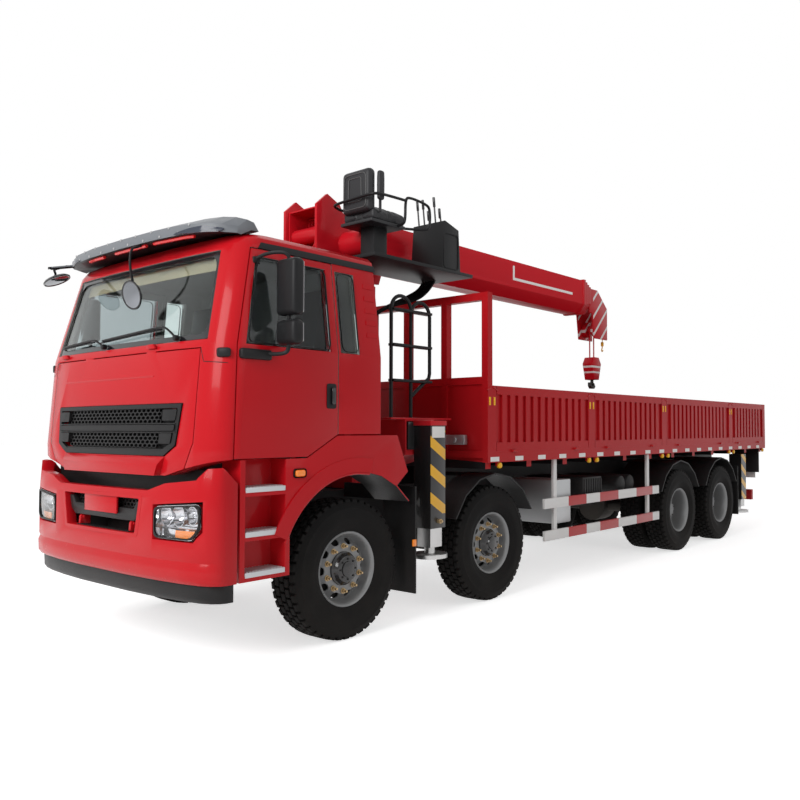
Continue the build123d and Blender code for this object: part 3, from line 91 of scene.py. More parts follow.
def joined(pieces):
    pick(*pieces)
    bpy.ops.object.join()
    return bpy.context.object


def linked(name, data):
    piece = bpy.data.objects.new(name, data)
    bpy.context.scene.collection.objects.link(piece)
    return piece


def copied(piece, move=(0, 0, 0), turn=None):
    twin = piece.copy()
    twin.data = piece.data.copy()
    bpy.context.scene.collection.objects.link(twin)
    twin.data.transform(Matrix.Translation(move) @ (turn or Matrix.Identity(4)))
    return twin


def flipped(piece):  # the same piece on the other side of the lorry
    twin = copied(piece, turn=Matrix.Scale(-1, 4, (0, 1, 0)))
    twin.data.flip_normals()
    return twin


def paint(piece, material, smooth=35):
    if material:
        piece.data.materials.clear()
        piece.data.materials.append(material)
    pick(piece)
    if smooth:
        bpy.ops.object.shade_smooth_by_angle(angle=math.radians(smooth))
    return piece


def settle(piece, name, material, body="root", smooth=35):
    piece.name = name
    piece.data.name = name
    paint(piece, material, smooth)
    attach(piece, body)
    return piece


def settlePair(label, piece, material, body="root"):  # on the left, with its twin on the right
    twin = flipped(piece)
    for part, side in ((piece, "left"), (twin, "right")):
        settle(part, f"{label}_{side}", material, f"door_{side}" if body == "door" else body)


# shapes that many pieces start from
def roundedBox(low, high, edge=0.004, segments=2):
    clearSelection()
    bpy.ops.mesh.primitive_cube_add(size=1, location=[(a + b) / 2 for a, b in zip(low, high)])
    piece = bpy.context.object
    piece.scale = [b - a for a, b in zip(low, high)]
    applyPlace(piece)
    editAll(piece)
    bpy.ops.mesh.bevel(offset=edge, segments=segments, affect="EDGES")
    leaveEdit()
    return piece


def roundBar(start, end, radius, sides=16, edge=0.0015):
    start, end = Vector(start), Vector(end)
    clearSelection()
    bpy.ops.mesh.primitive_cylinder_add(vertices=sides, radius=radius, depth=(end - start).length)
    piece = bpy.context.object
    piece.rotation_mode = "QUATERNION"
    piece.rotation_quaternion = (end - start).to_track_quat("Z", "Y")
    piece.location = (start + end) / 2
    applyPlace(piece)
    bevelEdges(piece, edge, 2, 60)
    return piece


def tube(points, radius, smooth=True, sides=3, closed=False):
    curve = bpy.data.curves.new("tube", "CURVE")
    curve.dimensions = "3D"
    spline = curve.splines.new("NURBS" if smooth else "POLY")
    spline.points.add(len(points) - 1)
    for point, place in zip(spline.points, points):
        point.co = (*place, 1)
    if smooth:
        spline.order_u = 3
        spline.use_endpoint_u = not closed
    spline.use_cyclic_u = closed
    spline.resolution_u = 6
    curve.bevel_depth = radius
    curve.bevel_resolution = sides
    curve.use_fill_caps = True
    pick(linked("tube", curve))
    bpy.ops.object.convert(target="MESH")
    return bpy.context.object


def fromMesh(verts, faces, edges=()):
    mesh = bpy.data.meshes.new("piece")
    mesh.from_pydata([tuple(v) for v in verts], edges, faces)
    return linked("piece", mesh)


def flatPiece(corners, push, edge=0.002, segments=2):  # an outline pushed out to a plate
    piece = fromMesh(corners, [list(range(len(corners)))])
    editAll(piece)
    bpy.ops.mesh.extrude_region_move(TRANSFORM_OT_translate={"value": tuple(push)})
    bpy.ops.mesh.select_all(action="SELECT")
    bpy.ops.mesh.normals_make_consistent(inside=False)
    leaveEdit()
    bevelEdges(piece, edge, segments, 30)
    return piece


def turned(profile, steps=48):  # (offset, radius) points spun about the Y axis
    piece = fromMesh([(0, *point) for point in profile], [], [(i, i + 1) for i in range(len(profile) - 1)])
    editAll(piece)
    bpy.ops.mesh.spin(steps=steps, angle=math.tau, center=(0, 0, 0), axis=(0, 1, 0))
    bpy.ops.mesh.select_all(action="SELECT")
    bpy.ops.mesh.remove_doubles(threshold=0.0001)
    bpy.ops.mesh.normals_make_consistent(inside=False)
    leaveEdit()
    return piece


# shared shader groups
def feed(tree, node, inputs):  # numbers, colours or other nodes' outputs
    for label, value in inputs.items():
        if isinstance(value, (int, float)):
            node.inputs[label].default_value = value
        elif isinstance(value, (tuple, list)):
            node.inputs[label].default_value = (*value, 1)
        else:
            tree.links.new(value, node.inputs[label])


def addNode(tree, kind, inputs, **settings):
    node = tree.nodes.new("ShaderNode" + kind)
    for setting, value in settings.items():
        setattr(node, setting, value)
    feed(tree, node, inputs)
    return node


def addMath(tree, operation, first, second=0, clamp=False):
    return addNode(tree, "Math", {0: first, 1: second}, operation=operation, use_clamp=clamp).outputs[0]


def combined(tree, operation, *masks):
    total = masks[0]
    for mask in masks[1:]:
        total = addMath(tree, operation, total, mask)
    return total


def objectPlace(tree):
    return addNode(tree, "TexCoord", {}).outputs["Object"]


def axisPlace(tree, axis):
    return addNode(tree, "SeparateXYZ", {0: objectPlace(tree)}).outputs[axis]


def addNoise(tree, scale, detail):
    return addNode(tree, "TexNoise", {"Scale": scale, "Detail": detail, "Vector": objectPlace(tree)}).outputs["Fac"]


def addMix(tree, factor, first, second):
    return addNode(tree, "Mix", {"Factor": factor, "A": first, "B": second}, data_type="RGBA").outputs["Result"]


def newGroup(name, inputs, outputs):
    group = bpy.data.node_groups.new(name, "ShaderNodeTree")
    for label, value in inputs.items():
        kind = "NodeSocketColor" if isinstance(value, tuple) else "NodeSocketFloat"
        group.interface.new_socket(name=label, in_out="INPUT", socket_type=kind).default_value = value
    for label, kind in outputs.items():
        group.interface.new_socket(name=label, in_out="OUTPUT", socket_type=kind)
    return group, group.nodes.new("NodeGroupInput").outputs, group.nodes.new("NodeGroupOutput")


filmSizes = {"cloud": (5.0, 6.0), "tone": (0.9, 2.0), "fine": (60.0, 3.0), "fineShare": 0.12, "dustRough": 0.5}


def makeRoadFilm():  # road dust that thins out upwards, and slow changes of tone
    group, given, end = newGroup(
        "roadFilm", {"Base": (0.5, 0.5, 0.5, 1), "Dust": (0.3, 0.26, 0.22, 1), "Top": 1.2, "Amount": 0.3, "Rough": 0.3,
                     "Tone": 0.12}, {"Color": "NodeSocketColor", "Roughness": "NodeSocketFloat"})
    height = addMath(group, "DIVIDE", axisPlace(group, "Z"), given["Top"])
    fall = addMath(group, "SUBTRACT", 1.0, height, True)
    cloud = addMath(group, "MULTIPLY", fall, addNoise(group, *filmSizes["cloud"]))
    film = addMath(group, "MULTIPLY", cloud, given["Amount"], True)
    tone = addMath(group, "SUBTRACT", addNoise(group, *filmSizes["tone"]), 0.5)
    shade = addMath(group, "ADD", 1.0, addMath(group, "MULTIPLY", tone, given["Tone"]))
    hue = addNode(group, "HueSaturation", {"Color": given["Base"], "Value": shade})
    specks = addMath(group, "SUBTRACT", addNoise(group, *filmSizes["fine"]), 0.5)
    fine = addMath(group, "MULTIPLY", specks, filmSizes["fineShare"])
    rough = addMath(group, "ADD", given["Rough"], addMath(group, "MULTIPLY", film, filmSizes["dustRough"]))
    feed(group, end, {"Color": addMix(group, film, hue.outputs[0], given["Dust"]),
                      "Roughness": addMath(group, "ADD", rough, fine, True)})
    return group


def makeGrain():  # fine surface texture for bump
    group, given, end = newGroup("grain", {"Scale": 300.0, "Waves": 8.0}, {"Height": "NodeSocketFloat"})
    broad = addMath(group, "MULTIPLY", addNoise(group, given["Waves"], 2.0), 0.6)
    feed(group, end, {"Height": addMath(group, "ADD", addNoise(group, given["Scale"], 2.0), broad)})
    return group


roadFilm = makeRoadFilm()
grain = makeGrain()
finishes = {}


def newMaterial(name):
    material = finishes[name] = bpy.data.materials.new(name)
    material.use_nodes = True
    return material.node_tree, material.node_tree.nodes["Principled BSDF"]


def finish(name, colour, rough, metallic=0.0, coat=0.0, dust=0.25, dustTop=1.3, tone=0.12, grainScale=300.0,
           waves=6.0, depth=0.0006, mark=None, markColour=(0.8, 0.8, 0.8), glow=0.0, shine=0.3):
    tree, shader = newMaterial(name)
    base = addMix(tree, mark(tree), colour, markColour) if mark else colour
    film = addNode(tree, "Group", {}, node_tree=roadFilm)
    feed(tree, film, {"Base": base, "Rough": rough, "Amount": dust, "Top": dustTop, "Tone": tone})
    texture = addNode(tree, "Group", {}, node_tree=grain)
    feed(tree, texture, {"Scale": grainScale, "Waves": waves})
    bump = addNode(tree, "Bump", {"Strength": 0.35, "Distance": depth, "Height": texture.outputs["Height"]})
    feed(tree, shader, {
        "Base Color": film.outputs["Color"], "Roughness": film.outputs["Roughness"], "Metallic": metallic,
        "Coat Weight": coat, "Coat Roughness": 0.04, "Specular IOR Level": shine, "Normal": bump.outputs["Normal"]})
    if glow:
        feed(tree, shader, {"Emission Color": colour, "Emission Strength": glow})
    return finishes[name]


def clearFinish(name, tint, rough=0.02, dark=0.0):
    tree, shader = newMaterial(name)
    smear = addNoise(tree, 3.0, 5.0)
    feed(tree, shader, {
        "Base Color": addMix(tree, smear, tint, [c * (0.9 - dark) for c in tint]), "Transmission Weight": 1.0,
        "IOR": 1.3, "Roughness": addMath(tree, "MULTIPLY", smear, 2 * rough)})
    return finishes[name]


# painted marks
markSizes = {
    "lineX": (-0.98, 0.362), "lineZ": (3.325, 3.356), "uprightX": (0.325, 0.362), "uprightZ": (3.325, 3.495),
    "headX": (-2.1, -1.62), "headBands": ((0.7, 0, 0.7), 0.17, 0.2), "blockZ": ((2.425, 2.452), (2.350, 2.374)),
    "legZ": (0.86, 1.56), "legY": 1.187, "legBands": ((-0.62, 0, 1), 0.235, 0.40, 2.06),
    "rearBands": ((-0.62, 0, 1), 0.2, 0.42), "guardX": ((0.489, 0.853), (-0.225, 0.197), (-1.096, -0.67)),
    "guardY": 1.207}


def bandMask(tree, direction, pitch, share, shift=0.0):  # stripes across a direction
    dot = addNode(tree, "VectorMath", {0: objectPlace(tree)}, operation="DOT_PRODUCT")
    dot.inputs[1].default_value = direction
    along = addMath(tree, "DIVIDE", addMath(tree, "ADD", dot.outputs["Value"], shift), pitch)
    return addMath(tree, "LESS_THAN", addMath(tree, "FRACT", along), share)


def spanMask(tree, axis, low, high):  # only between two places on an axis
    place = axisPlace(tree, axis)
    above = addMath(tree, "GREATER_THAN", place, low)
    return addMath(tree, "MULTIPLY", above, addMath(tree, "LESS_THAN", place, high))


def outside(tree, low, high=1.3):  # on both sides, beyond a distance from the middle
    return combined(tree, "MAXIMUM", spanMask(tree, "Y", low, high), spanMask(tree, "Y", -high, -low))


def boomStripe(tree):  # a white line along each side with a short upright at its inner end
    line, upright = (combined(tree, "MULTIPLY", spanMask(tree, "X", *markSizes[part + "X"]),
                              spanMask(tree, "Z", *markSizes[part + "Z"])) for part in ("line", "upright"))
    return combined(tree, "MAXIMUM", upright, line)


def headStripes(tree):
    return combined(tree, "MULTIPLY", bandMask(tree, *markSizes["headBands"]),
                    spanMask(tree, "X", *markSizes["headX"]))


def blockStripes(tree):
    return combined(tree, "MAXIMUM", *[spanMask(tree, "Z", *span) for span in markSizes["blockZ"]])


def legStripes(tree):
    return combined(tree, "MULTIPLY", bandMask(tree, *markSizes["legBands"]),
                    spanMask(tree, "Z", *markSizes["legZ"]), outside(tree, markSizes["legY"]))


def rearLegStripes(tree):
    return combined(tree, "MULTIPLY", bandMask(tree, *markSizes["rearBands"]), outside(tree, markSizes["legY"]))


def guardBlocks(tree):
    blocks = combined(tree, "MAXIMUM", *[spanMask(tree, "X", *span) for span in markSizes["guardX"]])
    return combined(tree, "MULTIPLY", blocks, outside(tree, markSizes["guardY"]))


# finishes
coal = (0.011, 0.011, 0.012)
soot = (0.014, 0.014, 0.015)
cranePaint = {"colour": (0.56, 0.009, 0.018), "rough": 0.3, "coat": 0.06, "shine": 0.1}
stripedPaint = dict(cranePaint, dust=0.0, markColour=(0.85, 0.83, 0.82))
legPaint = {"colour": soot, "rough": 0.32, "coat": 0.3, "dust": 0.15, "markColour": (0.80, 0.42, 0.015)}
lensPaint = {"rough": 0.15, "coat": 0.6, "dust": 0.0}
cabRed = finish("cabRed", (0.50, 0.0075, 0.013), 0.24, coat=0.12, shine=0.08, dust=0.12, dustTop=1.0, tone=0.06,
                depth=0.00008)
bedRed = finish("bedRed", (0.43, 0.008, 0.012), 0.34, coat=0.04, shine=0.1, dust=0.12, dustTop=1.9, tone=0.25,
                waves=9.0)
craneRed = finish("craneRed", dust=0.15, dustTop=3.0, **cranePaint)
frameBlack = finish("frameBlack", coal, 0.42, shine=0.15, dust=0.10, dustTop=1.4, depth=0.001)
castIron = finish("castIron", (0.05, 0.047, 0.045), 0.65, metallic=0.5, dust=0.5, dustTop=1.2, grainScale=140.0,
                  depth=0.0015)
tankSilver = finish("tankSilver", (0.42, 0.43, 0.44), 0.4, metallic=0.8, dust=0.35)
boxBlack = finish("boxBlack", soot, 0.48, shine=0.15, dust=0.10, dustTop=1.4, depth=0.001)
trimBlack = finish("trimBlack", coal, 0.40, shine=0.15, dust=0.06, dustTop=2.5, grainScale=520.0, depth=0.0008)
glossBlack = finish("glossBlack", (0.010, 0.010, 0.012), 0.12, coat=0.4, dust=0.1)
visorGrey = finish("visorGrey", (0.16, 0.17, 0.185), 0.38, dust=0.0, depth=0.0002)
cabTrim = finish("cabTrim", (0.30, 0.29, 0.275), 0.75, dust=0.0, depth=0.0)
rubber = finish("rubber", (0.007, 0.007, 0.0075), 0.72, shine=0.07, dust=0.07, dustTop=1.6, tone=0.4,
                grainScale=260.0, depth=0.0012)
rimGrey = finish("rimGrey", (0.22, 0.225, 0.23), 0.4, metallic=0.3, dust=0.2, dustTop=1.2, tone=0.25)
bronze = finish("bronze", (0.42, 0.30, 0.16), 0.35, metallic=0.7, dust=0.1)
chrome = finish("chrome", (0.62, 0.62, 0.64), 0.12, metallic=1.0, dust=0.0, depth=0.0002)
treadSilver = finish("treadSilver", (0.55, 0.56, 0.58), 0.42, metallic=0.35, dust=0.05)
steel = finish("steel", (0.5, 0.5, 0.5), 0.32, metallic=0.9, dust=0.2)
seatHide = finish("seatHide", (0.016, 0.016, 0.018), 0.48, dust=0.05, grainScale=420.0)
amber = finish("amber", (0.85, 0.22, 0.01), glow=0.15, **lensPaint)
# the red lens glow: on the visor's marker bars, which are reflectors, it is painted reflected light
redLens = finish("redLens", (0.6, 0.01, 0.01), glow=0.1, **lensPaint)
whiteMark = finish("whiteMark", (0.78, 0.77, 0.75), 0.35, dust=0.1)
yellowMark = finish("yellowMark", (0.85, 0.45, 0.015), 0.4, dust=0.1)
blueLens = finish("blueLens", (0.03, 0.036, 0.055), 0.25, coat=0.2, dust=0.0)
mirrorGlass = finish("mirrorGlass", (0.24, 0.25, 0.27), 0.06, metallic=1.0, dust=0.0, depth=0.0)
dullGrey = finish("dullGrey", (0.09, 0.09, 0.09), 0.5, dust=0.0)
blindTan = finish("blindTan", (0.42, 0.33, 0.22), 0.8, dust=0.0, grainScale=200.0, depth=0.002)
paneGlass = clearFinish("paneGlass", (0.80, 0.88, 0.87))
darkGlass = clearFinish("darkGlass", (0.42, 0.47, 0.49), 0.0, 0.1)
lampGlass = clearFinish("lampGlass", (0.95, 0.96, 0.97))
boomRed = finish("boomRed", mark=boomStripe, **stripedPaint)
headRed = finish("headRed", mark=headStripes, **stripedPaint)
blockRed = finish("blockRed", mark=blockStripes, **stripedPaint)
legBlack = finish("legBlack", mark=legStripes, **legPaint)
rearLegBlack = finish("rearLegBlack", mark=rearLegStripes, **legPaint)
guardWhite = finish("guardWhite", (0.72, 0.71, 0.70), 0.35, coat=0.2, dust=0.2, markColour=(0.42, 0.012, 0.016),
                    mark=guardBlocks)
print("finishes ready:", len(finishes))


# carried-over nodes: merged, with softened edges
def dress(node, material, edge=0.004, smooth=32):
    piece = copied(nodes[node])
    piece.parent = None
    for key in list(piece.keys()):
        del piece[key]
    pick(piece)
    bpy.ops.mesh.customdata_custom_splitnormals_clear()
    editAll(piece)
    bpy.ops.mesh.remove_doubles(threshold=0.00002)
    if edge:
        bpy.ops.mesh.dissolve_limited(angle_limit=math.radians(0.5))
    leaveEdit()
    if edge:
        bevelEdges(piece, edge)
    settle(piece, node + "_dressed", material, bodyOf[node], smooth)
    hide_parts(node)
    return piece


dressing = {
    "cab_shell": (cabRed, 0.006), "door_left": (cabRed, 0.005), "door_right": (cabRed, 0.005),
    "front_panel": (cabRed, 0.006), "bumper": (cabRed, 0.006), "fenders": (cabRed, 0.005),
    "visor": (visorGrey, 0.006), "cab_interior": (trimBlack, 0.01), "crane_base": (craneRed, 0.004),
    "turret": (craneRed, 0.005), "boom_1": (boomRed, 0.005), "boom_2": (craneRed, 0.004),
    "boom_3": (craneRed, 0.004), "boom_4": (headRed, 0.004), "hook_block": (blockRed, 0.004),
    "luff_barrel": (craneRed, 0.003), "luff_rod": (chrome, 0.002), "bed_frame": (bedRed, 0.0),
    "tailgate": (bedRed, 0.005), "guard_rails": (guardWhite, 0.004), "chassis_frame": (frameBlack, 0.0),
    "driveline": (castIron, 0.006), "axles": (castIron, 0.003), "tanks": (tankSilver, 0.012),
    "operator_station": (frameBlack, 0.004), "lamps": (lampGlass, 0.003),
    "outrigger_beam_left": (legBlack, 0.004), "outrigger_beam_right": (legBlack, 0.004),
}
for side in ("left", "right"):
    for number in (1, 2, 3, 4):
        dressing[f"side_board_{number}_{side}"] = (bedRed, 0.0)
    for number in (1, 2):
        dressing[f"knuckle_{number}_{side}"] = (castIron, 0.003)
    dressing[f"front_jack_{side}"] = (steel, 0.003)
    dressing[f"rear_jack_{side}"] = (steel, 0.003)
    dressing[f"door_glass_{side}"] = (darkGlass, 0.0)
dressing["cab_glass"] = (paneGlass, 0.0)
dressed = {node: dress(node, *choice) for node, choice in dressing.items()}


def repaint(node, material, chosen):  # another finish on some of a node's faces
    piece = dressed[node]
    piece.data.materials.append(material)
    slot = len(piece.data.materials) - 1
    for face in piece.data.polygons:
        if chosen(face.center, face.normal):
            face.material_index = slot


def cutFaces(node, chosen):  # takes some of a node's faces away
    piece = dressed[node]
    editAll(piece, "DESELECT")
    leaveEdit()
    for face in piece.data.polygons:
        face.select = chosen(face.center)
    bpy.ops.object.mode_set(mode="EDIT")
    bpy.ops.mesh.delete(type="FACE")
    leaveEdit()


wheelSizes = {"radius": 0.525, "blocks": 44, "front": (3.85, 2.05), "rear": (-1.925, -3.325), "frontY": 1.015,
              "rearY": 0.92, "twin": 0.17, "studs": 10, "studRing": 0.168, "holeRing": 0.205}
wheelX, wheelZ = wheelSizes["front"][0], wheelSizes["radius"]
repaintSizes = {"cabMiddle": Vector((4.35, 0, 2.1)), "inward": 0.25, "cabZ": 1.4, "arch": 0.79, "archX": 4.2,
                "archY": 1.21, "archZ": 1.236, "rearX": -4, "barZ": 0.8, "legX": (-4.47, -4.24), "legY": 0.98,
                "bedZ": 1.268, "bedY": 1.15, "hookZ": 2.262, "boxX": 0.44}


def cabInside(place, normal):  # faces that look towards the cab's middle
    inward = (repaintSizes["cabMiddle"] - place).normalized().dot(normal)
    return inward > repaintSizes["inward"] and place.z > repaintSizes["cabZ"]


def underFender(place, normal):
    near = math.hypot(place.x - wheelX, place.z - wheelZ) < repaintSizes["arch"]
    hidden = abs(place.y) < repaintSizes["archY"] or (place.z < repaintSizes["archZ"] and place.x < wheelX)
    return near and hidden and (place.x < repaintSizes["archX"] or normal.x < 0.1)


def rearHanger(place, normal):
    return place.x < repaintSizes["rearX"] and place.z > repaintSizes["barZ"]


def rearBar(place, normal):
    return place.x < repaintSizes["rearX"] and place.z <= repaintSizes["barZ"]


def rearLeg(place, normal):
    return repaintSizes["legX"][0] < place.x < repaintSizes["legX"][1] and abs(place.y) > repaintSizes["legY"]


def underBed(place, normal):
    return place.z < repaintSizes["bedZ"] and abs(place.y) < repaintSizes["bedY"]


for node in ("cab_shell", "door_left", "door_right"):
    repaint(node, cabTrim, cabInside)
for node, material, chosen in (
        ("guard_rails", frameBlack, rearHanger), ("guard_rails", bedRed, rearBar),
        ("chassis_frame", rearLegBlack, rearLeg), ("bed_frame", frameBlack, underBed),
        ("fenders", trimBlack, underFender),
        ("hook_block", castIron, lambda place, normal: place.z < repaintSizes["hookZ"]),
        ("tanks", boxBlack, lambda place, normal: place.y > 0 and place.x < repaintSizes["boxX"])):
    repaint(node, material, chosen)
print("nodes dressed:", len(dressed))


# wheels
def aroundAxle(piece, count, start=0.0):  # copies of a piece round the wheel's axis
    copies = [copied(piece, turn=Matrix.Rotation(start + math.tau * i / count, 4, "Y")) for i in range(count)]
    bpy.data.objects.remove(piece)
    return joined(copies)


def makeTyre():
    side = [(0.108, 0.258), (0.116, 0.280), (0.121, 0.284), (0.136, 0.318), (0.1385, 0.324), (0.146, 0.352),
            (0.1485, 0.356), (0.1495, 0.385), (0.1475, 0.425), (0.1435, 0.452), (0.1450, 0.456), (0.1350, 0.482),
            (0.124, 0.500), (0.06, 0.507)]
    outline = side + [(-offset, radius) for offset, radius in reversed(side)]
    carcass = turned(outline + outline[:1], 72)
    radius = wheelSizes["radius"]
    pitch = math.tau * radius / wheelSizes["blocks"]
    rows = []
    for offset, width, shift in ((0.0, 0.042, 0.0), (0.053, 0.044, 0.5), (-0.053, 0.044, 0.5)):
        block = roundedBox((-0.4 * pitch, offset - width / 2, 0.490), (0.4 * pitch, offset + width / 2, radius),
                           0.004, 1)
        rows.append(copied(block, turn=Matrix.Rotation(shift * math.tau / wheelSizes["blocks"], 4, "Y")))
        bpy.data.objects.remove(block)
    for sign in (1, -1):
        lug = [(along * pitch, sign * offset, radius - drop) for along, offset, drop in (
            (-0.36, 0.084, 0.001), (0.36, 0.084, 0.001), (0.36, 0.120, 0.004), (-0.36, 0.120, 0.004))]
        rows.append(flatPiece(lug, (0, sign * 0.014, -0.062), 0.004, 1))
    tread = aroundAxle(joined(rows), wheelSizes["blocks"])
    return paint(joined([carcass, tread]), rubber)


def makeStuds(face):
    ring = wheelSizes["studRing"]
    nut = roundBar((0, face, ring), (0, face + 0.024, ring), 0.017, 6, 0.002)
    thread = roundBar((0, face + 0.02, ring), (0, face + 0.046, ring), 0.0095, 10)
    washer = roundBar((0, face, ring), (0, face + 0.006, ring), 0.022, 14)
    return paint(aroundAxle(joined([nut, thread, washer]), wheelSizes["studs"]), bronze)


def makeDisc(outline, wall=0.012):  # a rim with its pierced disc
    back = [(offset - wall, radius) for offset, radius in reversed(outline)]
    disc = turned(outline + back + outline[:1], 60)
    ring, count = wheelSizes["holeRing"], wheelSizes["studs"]
    hole = roundBar((0, -0.3, ring), (0, 0.4, ring), 0.024, 16)
    hole.data.transform(Matrix.Diagonal((1.35, 1, 1, 1)))
    holes = aroundAxle(hole, count, math.tau / (2 * count))
    cut = disc.modifiers.new("holes", "BOOLEAN")
    cut.object = holes
    cut.solver = "EXACT"
    applyModifiers(disc)
    bpy.data.objects.remove(holes)
    return paint(disc, rimGrey)


def makeFrontWheel():
    outline = [(0.119, 0.281), (0.124, 0.277), (0.120, 0.268), (0.108, 0.258), (0.088, 0.250), (0.040, 0.243),
               (0.030, 0.236), (0.036, 0.222), (0.058, 0.200), (0.070, 0.188), (0.073, 0.130), (0.073, 0.100)]
    hub = turned([(0.070, 0.128), (0.084, 0.126), (0.088, 0.118), (0.096, 0.112), (0.122, 0.098), (0.126, 0.090),
                  (0.127, 0.062), (0.136, 0.058), (0.139, 0.050), (0.139, 0.0)], 40)
    bolts = aroundAxle(roundBar((0, 0.120, 0.076), (0, 0.134, 0.076), 0.008, 6), 8)
    drum = turned([(0.020, 0.115), (0.020, 0.222), (0.014, 0.222), (0.014, 0.115), (0.020, 0.115)], 40)
    return joined([makeTyre(), makeDisc(outline), paint(hub, glossBlack), paint(bolts, frameBlack), makeStuds(0.072),
                   paint(drum, boxBlack)])


def makeTwinWheel():
    twin = wheelSizes["twin"]
    outer = makeTyre()
    inner = copied(outer, (0, -twin, 0))
    outer.data.transform(Matrix.Translation((0, twin, 0)))
    outline = [(0.289, 0.281), (0.294, 0.277), (0.290, 0.268), (0.278, 0.258), (0.258, 0.250), (0.200, 0.244),
               (0.120, 0.240), (0.075, 0.232), (0.064, 0.222), (0.062, 0.200), (0.062, 0.130), (0.062, 0.100)]
    hub = turned([(0.060, 0.128), (0.090, 0.126), (0.094, 0.120), (0.160, 0.112), (0.164, 0.106), (0.166, 0.078),
                  (0.178, 0.072), (0.179, 0.0)], 40)
    bolts = aroundAxle(roundBar((0, 0.160, 0.092), (0, 0.175, 0.092), 0.008, 6), 10)
    barrel = turned([(-0.289, 0.281), (-0.294, 0.275), (-0.278, 0.258), (-0.1, 0.24), (-0.1, 0.228), (-0.27, 0.246),
                     (-0.289, 0.281)], 48)
    drum = turned([(0.030, 0.115), (0.030, 0.226), (0.024, 0.226), (0.024, 0.115), (0.030, 0.115)], 40)
    return joined([outer, inner, makeDisc(outline), paint(hub, rimGrey), paint(bolts, frameBlack), makeStuds(0.061),
                   paint(barrel, rimGrey), paint(drum, boxBlack)])


frontWheel = makeFrontWheel()
twinWheel = makeTwinWheel()
for number, (model, x, y) in enumerate([(frontWheel, x, wheelSizes["frontY"]) for x in wheelSizes["front"]]
                                       + [(twinWheel, x, wheelSizes["rearY"]) for x in wheelSizes["rear"]], 1):
    for side, sign in bothSides:
        wheel = copied(model) if sign > 0 else flipped(model)
        wheel.data.transform(Matrix.Translation((x, sign * y, wheelSizes["radius"])))
        settle(wheel, f"wheel_{number}_{side}_tyre_and_rim", None, f"wheel_{number}_{side}", 0)
        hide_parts(f"wheel_{number}_{side}")
bpy.data.objects.remove(frontWheel)
bpy.data.objects.remove(twinWheel)
print("wheels fitted")


# the cab's front
cabPlan = ((0.0, 0.0), (0.3, 0.002), (0.6, 0.010), (0.82, 0.028), (0.91, 0.056), (0.96, 0.095), (0.99, 0.150),
           (1.0, 0.215))
cabLevels = ((1.25, 5.104, 1.242), (1.45, 5.112, 1.242), (2.12, 5.060, 1.242), (2.82, 4.890, 1.150),
             (2.872, 4.855, 1.135))
bumperPlan = ((0.0, 0.0), (0.28, 0.005), (0.55, 0.022), (0.76, 0.050), (0.89, 0.080), (0.95, 0.112), (0.985, 0.150),
              (1.0, 0.190))
bumperLevels = ((0.58, 0.026), (0.612, 0.004), (0.69, 0.0), (0.722, 0.016), (0.748, 0.006), (1.12, 0.006),
                (1.34, 0.022))
bumperReach, bumperHalf = 5.200, 1.243


def between(table, at, column=1):  # reads a value off a table, in between its rows
    if at <= table[0][0]:
        return table[0][column]
    for low, high in zip(table, table[1:]):
        if at <= high[0]:
            return low[column] + (high[column] - low[column]) * (at - low[0]) / (high[0] - low[0])
    return table[-1][column]


def cabFront(y, z, lift=0.0):
    half = between(cabLevels, z, 2)
    return Vector((between(cabLevels, z) - between(cabPlan, abs(y) / half) + lift, y, z))


def cabSide(x, z, lift=0.0):
    half = between(cabLevels, z, 2)
    behind = between(cabLevels, z) - x
    share = between([(setback, part) for part, setback in cabPlan], behind)
    return Vector((x, half * share + lift, z))


def bumperFront(y, z, lift=0.0):
    x = bumperReach - between(bumperLevels, z) - between(bumperPlan, abs(y) / bumperHalf)
    return Vector((x + lift, y, z))


def rectangle(left, low, right, top):
    return [(left, low), (right, low), (right, top), (left, top)]


def mirrored(half):  # an outline that is the same on both sides
    other = [(-y, z) for y, z in reversed(half)]
    return other[-1:] + half + other[:-1]


def softLoop(corners, radius, arc=5, runs=6):  # a closed outline with rounded corners
    count = len(corners)
    curves, loop = [], []
    for i, corner in enumerate(corners):
        here = Vector(corner)
        back = Vector(corners[i - 1]) - here
        ahead = Vector(corners[(i + 1) % count]) - here
        reach = min(radius, 0.45 * back.length, 0.45 * ahead.length)
        first, last = here + back.normalized() * reach, here + ahead.normalized() * reach
        curves.append([first.lerp(here, t / arc).lerp(here.lerp(last, t / arc), t / arc) for t in range(arc + 1)])
    for i, curve in enumerate(curves):
        nextStart = curves[(i + 1) % count][0]
        loop += curve + [curve[-1].lerp(nextStart, t / runs) for t in range(1, runs)]
    return [tuple(point) for point in loop]


def middleOf(corners):
    return sum((Vector(c) for c in corners), Vector((0, 0))) / len(corners)


def shrunk(corners, amount):  # each corner moved in along both axes
    middle = middleOf(corners)
    return [Vector(c) - Vector([math.copysign(amount, d) for d in Vector(c) - middle]) for c in corners]


def thickened(piece, thickness):
    editAll(piece)
    bpy.ops.mesh.normals_make_consistent(inside=False)
    leaveEdit()
    wall = piece.modifiers.new("wall", "SOLIDIFY")
    wall.thickness = thickness
    wall.offset = 0.0
    applyModifiers(piece)
    return piece


def ringFaces(low, high, count):  # quads between two rings of vertices
    return [(low + i, low + (i + 1) % count, high + (i + 1) % count, high + i) for i in range(count)]


def strip(outer, inner, surface, lift, thickness):  # a band between two rounded outlines, laid on a surface
    verts = [surface(*place, lift) for outline in (outer, inner) for place in softLoop(*outline)]
    count = len(verts) // 2
    return thickened(fromMesh(verts, ringFaces(0, count, count)), thickness)


